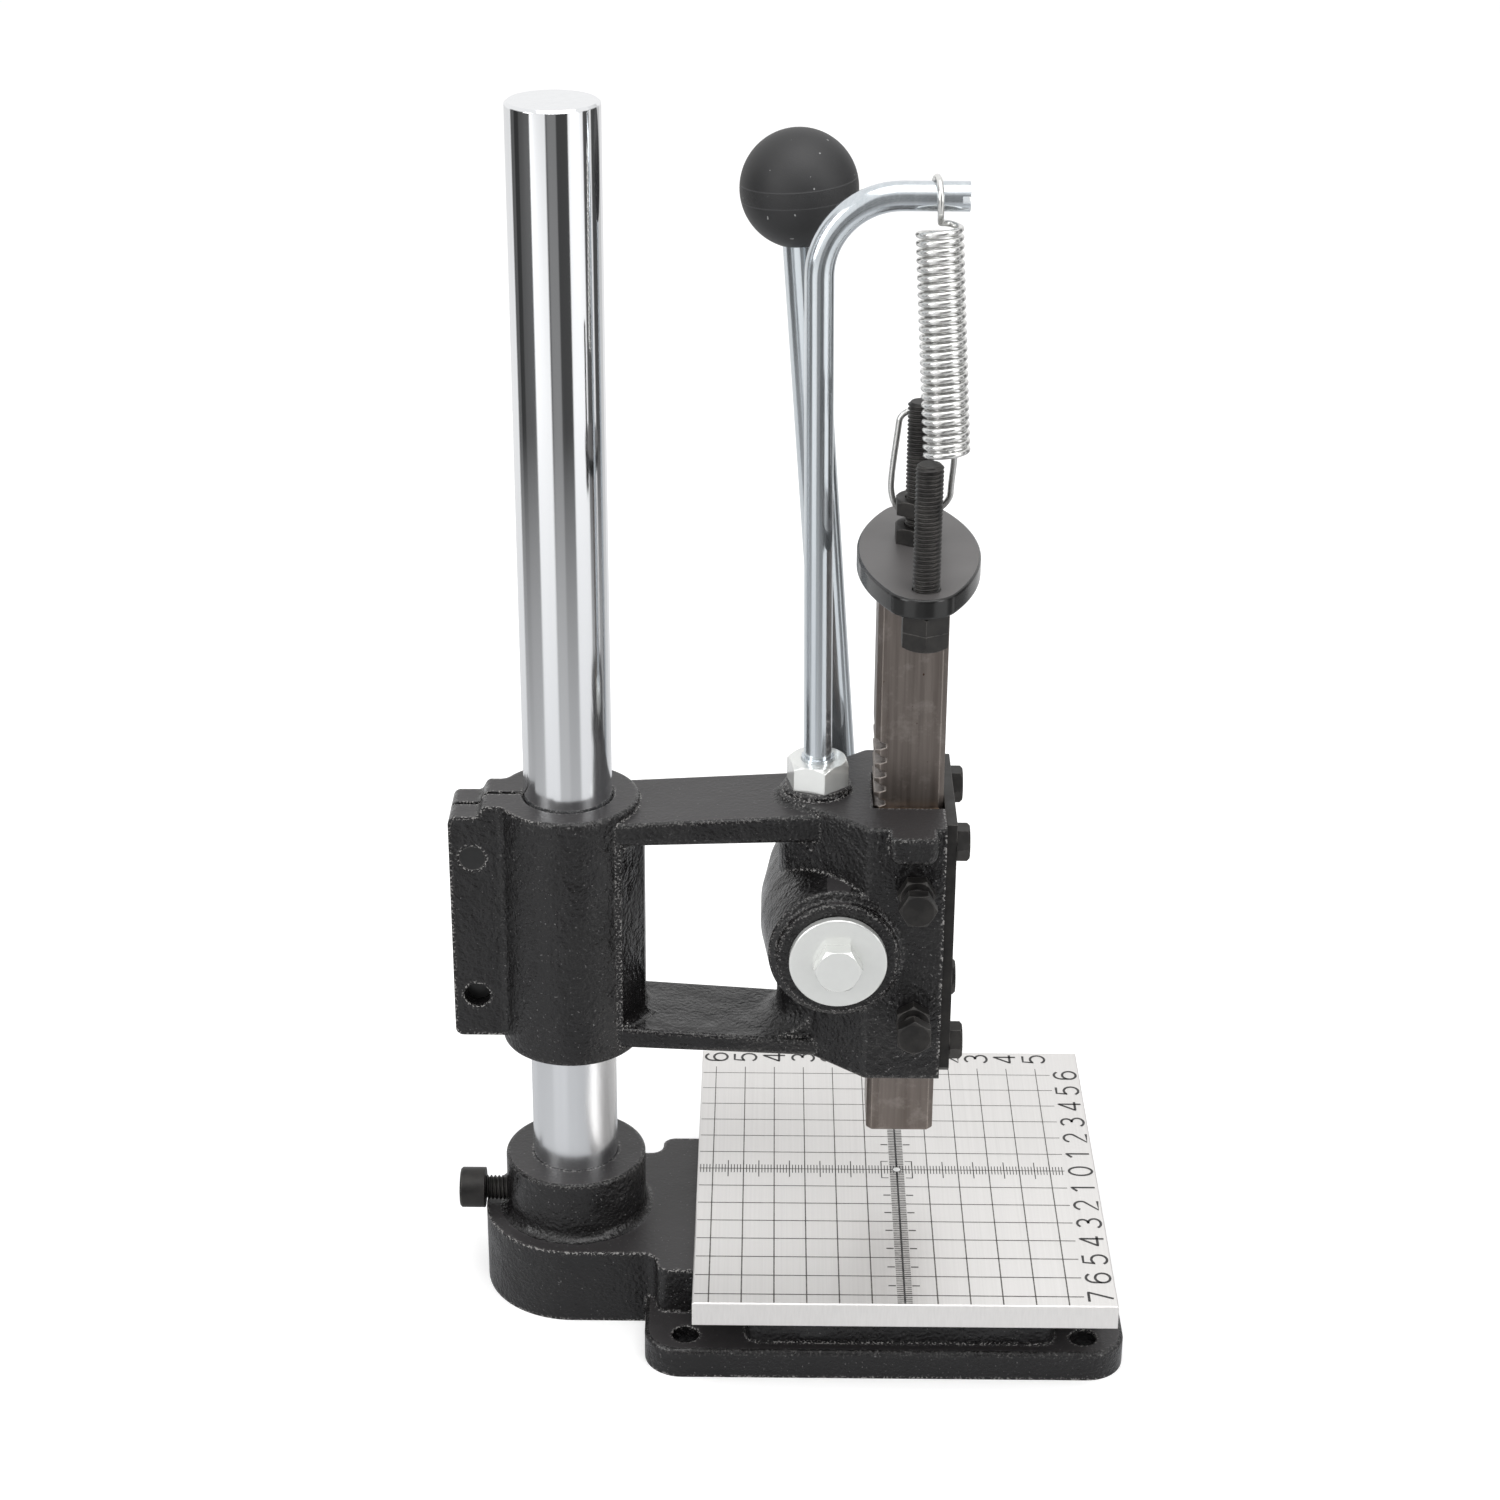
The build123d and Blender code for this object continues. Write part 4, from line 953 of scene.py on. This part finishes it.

# %% [markdown]
# ## The return spring
#
# The spring is one wire: a hook, twenty-six and three quarter turns, and a second hook. Its centre
# line is a list of short stretches, each a cubic curve that leaves one knot and reaches the next in
# given directions. A tube follows that line, with a ring of points square to it at each step. The
# working model's spring is stiff. This one takes its place as a single piece that rides on no body.

# %% Sizes of the spring
wire_radius = 0.00095
coil_radius = 0.00595
coil_foot = np.array([7.8, -11.0, 286.8]) * mm
coil_head = np.array([4.2, -2.5, 350.5]) * mm
coil_turns = 26.75
steps_per_turn = 24
steps_per_stretch = 8
wire_sides = 12
hook_behind, hook_level = 5.45, 263.95   # mm, the lower hook's Y and its lowest stretch
rod_reach, rod_level = 5.7, 359.3        # mm, the upper hook's half width and the rod's height
hook_sits = 0.4                          # mm by which the spring's pull holds that hook down


# %% Centre line of the wire
def coil_line():
    """Foot + rise * turn + radius * (right * cos + back * sin), from a quarter turn to the end."""
    rise = (coil_head - coil_foot) / coil_turns
    up = rise / np.linalg.norm(rise)
    right = np.array([1.0, 0, 0]) - up * up[0]
    right /= np.linalg.norm(right)
    back = np.cross(up, right)
    turn = np.linspace(0, coil_turns, int(coil_turns * steps_per_turn) + 1)[:, None]
    angle = 2 * np.pi * (turn + 0.25)
    return coil_foot + rise * turn + coil_radius * (right * np.cos(angle) + back * np.sin(angle))


def curve_through(knots):
    """Cubic curves from knot to knot: the four Hermite weights times places and directions."""
    t = np.linspace(0, 1, steps_per_stretch, endpoint=False)[:, None]
    line = []
    for (start, start_way), (end, end_way) in zip(knots, knots[1:]):
        start, end = np.array(start) * mm, np.array(end) * mm
        reach = np.linalg.norm(end - start)
        way_out = np.array(start_way) / np.linalg.norm(start_way) * reach
        way_in = np.array(end_way) / np.linalg.norm(end_way) * reach
        line.append((2 * t**3 - 3 * t**2 + 1) * start + (t**3 - 2 * t**2 + t) * way_out
                    + (3 * t**2 - 2 * t**3) * end + (t**3 - t**2) * way_in)
    return np.concatenate(line)


def spring_line():
    """Lower hook, coil and upper hook; a knot is a place in millimetres and a direction."""
    coil = coil_line()
    lower = [
        ((-2.6, hook_behind, 294.4), (-1, 0, -0.1)),
        ((-5.3, hook_behind, 291.4), (-0.1, 0, -1)),
        ((-7.2, hook_behind, 272.5), (-0.05, 0, -1)),
        ((-3.0, hook_behind, hook_level), (1, 0, -0.02)),
        ((4.8, hook_behind, hook_level), (1, 0, 0.02)),
        ((10.2, 4.4, 269.8), (0, -0.4, 1)),
        ((10.5, -3.3, 283.9), (0, -0.5, 0.9)),
        (coil[0] / mm, coil[1] - coil[0]),
    ]
    x, y, z = coil_head / mm
    upper = [
        (coil[-1] / mm, coil[-1] - coil[-2]),
        ((x + 3.05, y + 2.9, z + 0.9), (-1, 0, 0.25)),
        ((x + 0.3, y + 0.4, z + 1.9), (-0.1, -1, 0.5)),
        ((x, -rod_reach, rod_level), (0, 0, 1)),
        ((x - 0.8, 0, rod_level + rod_reach - hook_sits), (-0.2, 1, 0)),
        ((x - 1.8, rod_reach, rod_level), (-0.2, 0, -1)),
        ((x - 2.6, rod_reach - 1.2, rod_level - 4.2), (-0.2, -0.5, -1)),
    ]
    end = np.array([upper[-1][0]]) * mm
    return np.concatenate([curve_through(lower), coil[:-1], curve_through(upper), end])


# %% Spring wire
def tube_along(line, radius, around):
    """Rings round a line: place + radius * (side * cos + other * sin), both square to its way.

    Each ring's side is the last one's, less what runs along the line there, so rings don't twist.
    """
    way = np.gradient(line, axis=0)
    way /= np.linalg.norm(way, axis=1)[:, None]
    side = np.empty_like(line)
    side[0] = np.cross(way[0], [0.0, 1.0, 0.0])
    for step in range(1, len(line)):
        carried = side[step - 1] - way[step] * side[step - 1].dot(way[step])
        side[step] = carried / np.linalg.norm(carried)
    side /= np.linalg.norm(side, axis=1)[:, None]
    other = np.cross(way, side)
    angle = circle_angles(around)[None, :, None]
    outwards = side[:, None, :] * np.cos(angle) + other[:, None, :] * np.sin(angle)
    rings = line[:, None, :] + radius * outwards
    return rings.reshape(-1, 3), capped_tube_faces(len(line), around)


wire = tube_along(spring_line(), wire_radius, wire_sides)
spring = make_piece("wound_return_spring", *wire, spring_wire, None, smooth=True)
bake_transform(spring)
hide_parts("return_spring")

# %% [markdown]
# ## Floor, light and sky
#
# The punch stands in a white tent on a pale floor. Chrome shows what stands round it: white cloth
# walls, and dark gaps where the walls end. Real walls would shade the lamps, so a node group turns
# a bearing into a brightness, and only mirrored rays see it. Seen from above, the column mirrors
# the floor more than the walls, so these bearings are dark on the floor too, faint near the punch
# and full further out.

# %% Tent walls
# Where a stretch starts, in degrees from +X, and how bright the tent is from there on.
tent_walls = [
    (-180, 0.03), (-175, 0.08), (-143, 1.0), (-104, 0.12), (-100, 0.23), (-79, 0.05), (-51, 1.0),
    (-11, 0.08), (8, 1.0), (15, 0.07), (40, 0.70), (58, 1.0), (156, 0.12), (170, 0.03),
]
half_soft = 1.2   # degrees each side of a wall's edge, where the brightness changes


def make_wall_group():
    """Wall: brightness by the bearing of East and North, with edges about two degrees soft."""
    group, start, end = new_group("tent_walls", {"East": 1.0, "North": 0.0}, {"Wall": a_colour})
    bearing = number_sum(group, "ARCTAN2", start.outputs["North"], start.outputs["East"])
    round_once = spread_value(group, bearing, 0.0, 1.0, -math.pi, math.pi)
    ramp = add_node(group, "ValToRGB", {"Fac": round_once})
    stops = ramp.color_ramp.elements
    stops[0].color = (tent_walls[0][1],) * 3 + (1,)
    stops[1].color = (tent_walls[-1][1],) * 3 + (1,)
    for (_, before), (edge, after) in zip(tent_walls, tent_walls[1:]):
        for shift, brightness in ((-half_soft, before), (half_soft, after)):
            stop = stops.new((edge + shift + 180) / 360)
            stop.color = (brightness,) * 3 + (1,)
    join(group, end, {"Wall": ramp.outputs["Color"]})
    return group


wall_group = make_wall_group()


# %% Floor
def seen_directly(tree, rays):
    """1 for rays from the camera, from mirrors and through glass."""
    kinds = ("Camera", "Glossy", "Transmission")
    camera, mirror, glass = (rays.outputs[f"Is {kind} Ray"] for kind in kinds)
    first = number_sum(tree, "ADD", camera, mirror, clamp=True)
    return number_sum(tree, "ADD", first, glass, clamp=True)


def walls_from(tree, places):
    """How bright the tent is in the direction of a place; also gives the place's Z."""
    axes = add_node(tree, "SeparateXYZ", {0: places})
    walls = use_group(tree, wall_group, East=axes.outputs["X"], North=axes.outputs["Y"])
    return walls.outputs["Wall"], axes.outputs["Z"]


floor_half = 6.0    # metres from the punch to the floor's edge
floor_glow = 0.35   # how much of its colour the floor gives off by itself


def add_floor():
    """Pale grey; for mirrored rays, pale grey times the tent's walls, by the distance in metres."""
    finish, tree, shader = new_finish("tent_floor")
    rays = add_node(tree, "LightPath")
    place = object_place(tree)
    column = middle("column")
    moved = vector_sum(tree, "SUBTRACT", place, (column[0], column[1], 0))
    walls, _ = walls_from(tree, moved)
    away = vector_sum(tree, "LENGTH", moved)
    reach = spread_value(tree, away, 0.0, 1.0, 0.0, 0.85)
    near = spread_value(tree, away, 0.0, 1.0, 0.20, 0.90)
    pale = mix_colour(tree, near, (0.46, 0.465, 0.475), (0.70, 0.70, 0.70))
    wall = mix_colour(tree, reach, (1, 1, 1), walls)
    banded = add_node(tree, "Mix", {0: 1.0, 6: pale, 7: wall},
                      data_type="RGBA", blend_type="MULTIPLY").outputs[2]
    shade = mix_colour(tree, rays.outputs["Is Glossy Ray"], (0.9, 0.9, 0.9), banded)
    glow = number_sum(tree, "MULTIPLY", seen_directly(tree, rays), floor_glow)
    join(tree, shader, {
        "Base Color": shade, "Roughness": 0.9, "Specular IOR Level": 0.1,
        "Emission Color": shade, "Emission Strength": glow,
    })
    corners = floor_half * np.array([(-1, -1, 0), (1, -1, 0), (1, 1, 0), (-1, 1, 0)])
    floor = make_piece("studio_floor", corners, [(0, 1, 2, 3)], finish, None)


add_floor()

# %% Sky
sky_light = 0.72   # the sky's strength as light; where a ray sees the sky itself it is 1


def add_world():
    """White; for mirrored rays the tent's walls, fainter towards the top."""
    world = bpy.data.worlds.new("white_tent")
    world.use_nodes = True
    tree = world.node_tree
    tree.nodes.clear()
    rays = add_node(tree, "LightPath")
    way = add_node(tree, "TexCoord").outputs["Generated"]
    walls, up = walls_from(tree, way)
    low = spread_value(tree, up, 1.0, 0.0, 0.35, 0.65)
    mirrored = number_sum(tree, "MULTIPLY", rays.outputs["Is Glossy Ray"], low)
    colour = mix_colour(tree, mirrored, (1, 1, 1), walls)
    strength = spread_value(tree, seen_directly(tree, rays), sky_light, 1.0)
    sky = add_node(tree, "Background", {"Color": colour, "Strength": strength})
    add_node(tree, "OutputWorld", {"Surface": sky.outputs[0]})
    bpy.context.scene.world = world
    print("sky:", world.name)


add_world()


# %% Lamps
def add_lamp(name, place, aim, size, watts):
    """A soft box that looks from its place to its aim: tipped up first, then turned round Z."""
    lamp = bpy.data.lights.new(name, "AREA")
    lamp.shape = "RECTANGLE"
    lamp.size, lamp.size_y = size
    lamp.energy = watts
    holder = add_object(name, lamp)
    holder.location = place
    way = np.array(aim) - np.array(place)
    tipped = math.atan2(math.hypot(way[0], way[1]), -way[2])
    turned = math.atan2(way[1], way[0]) - math.pi / 2
    holder.rotation_euler = (tipped, 0, turned)
    print(name, watts, "W")


punch_middle = (0, 0, 0.15)
add_lamp("top_softbox", (0.1, -0.3, 1.5), punch_middle, (1.2, 1.2), 9.0)
add_lamp("left_softbox", (-1.4, -0.8, 0.8), punch_middle, (0.6, 1.2), 9.0)
add_lamp("right_softbox", (1.3, -0.9, 0.7), punch_middle, (0.5, 1.2), 6.0)
bpy.context.scene.view_settings.view_transform = "Standard"
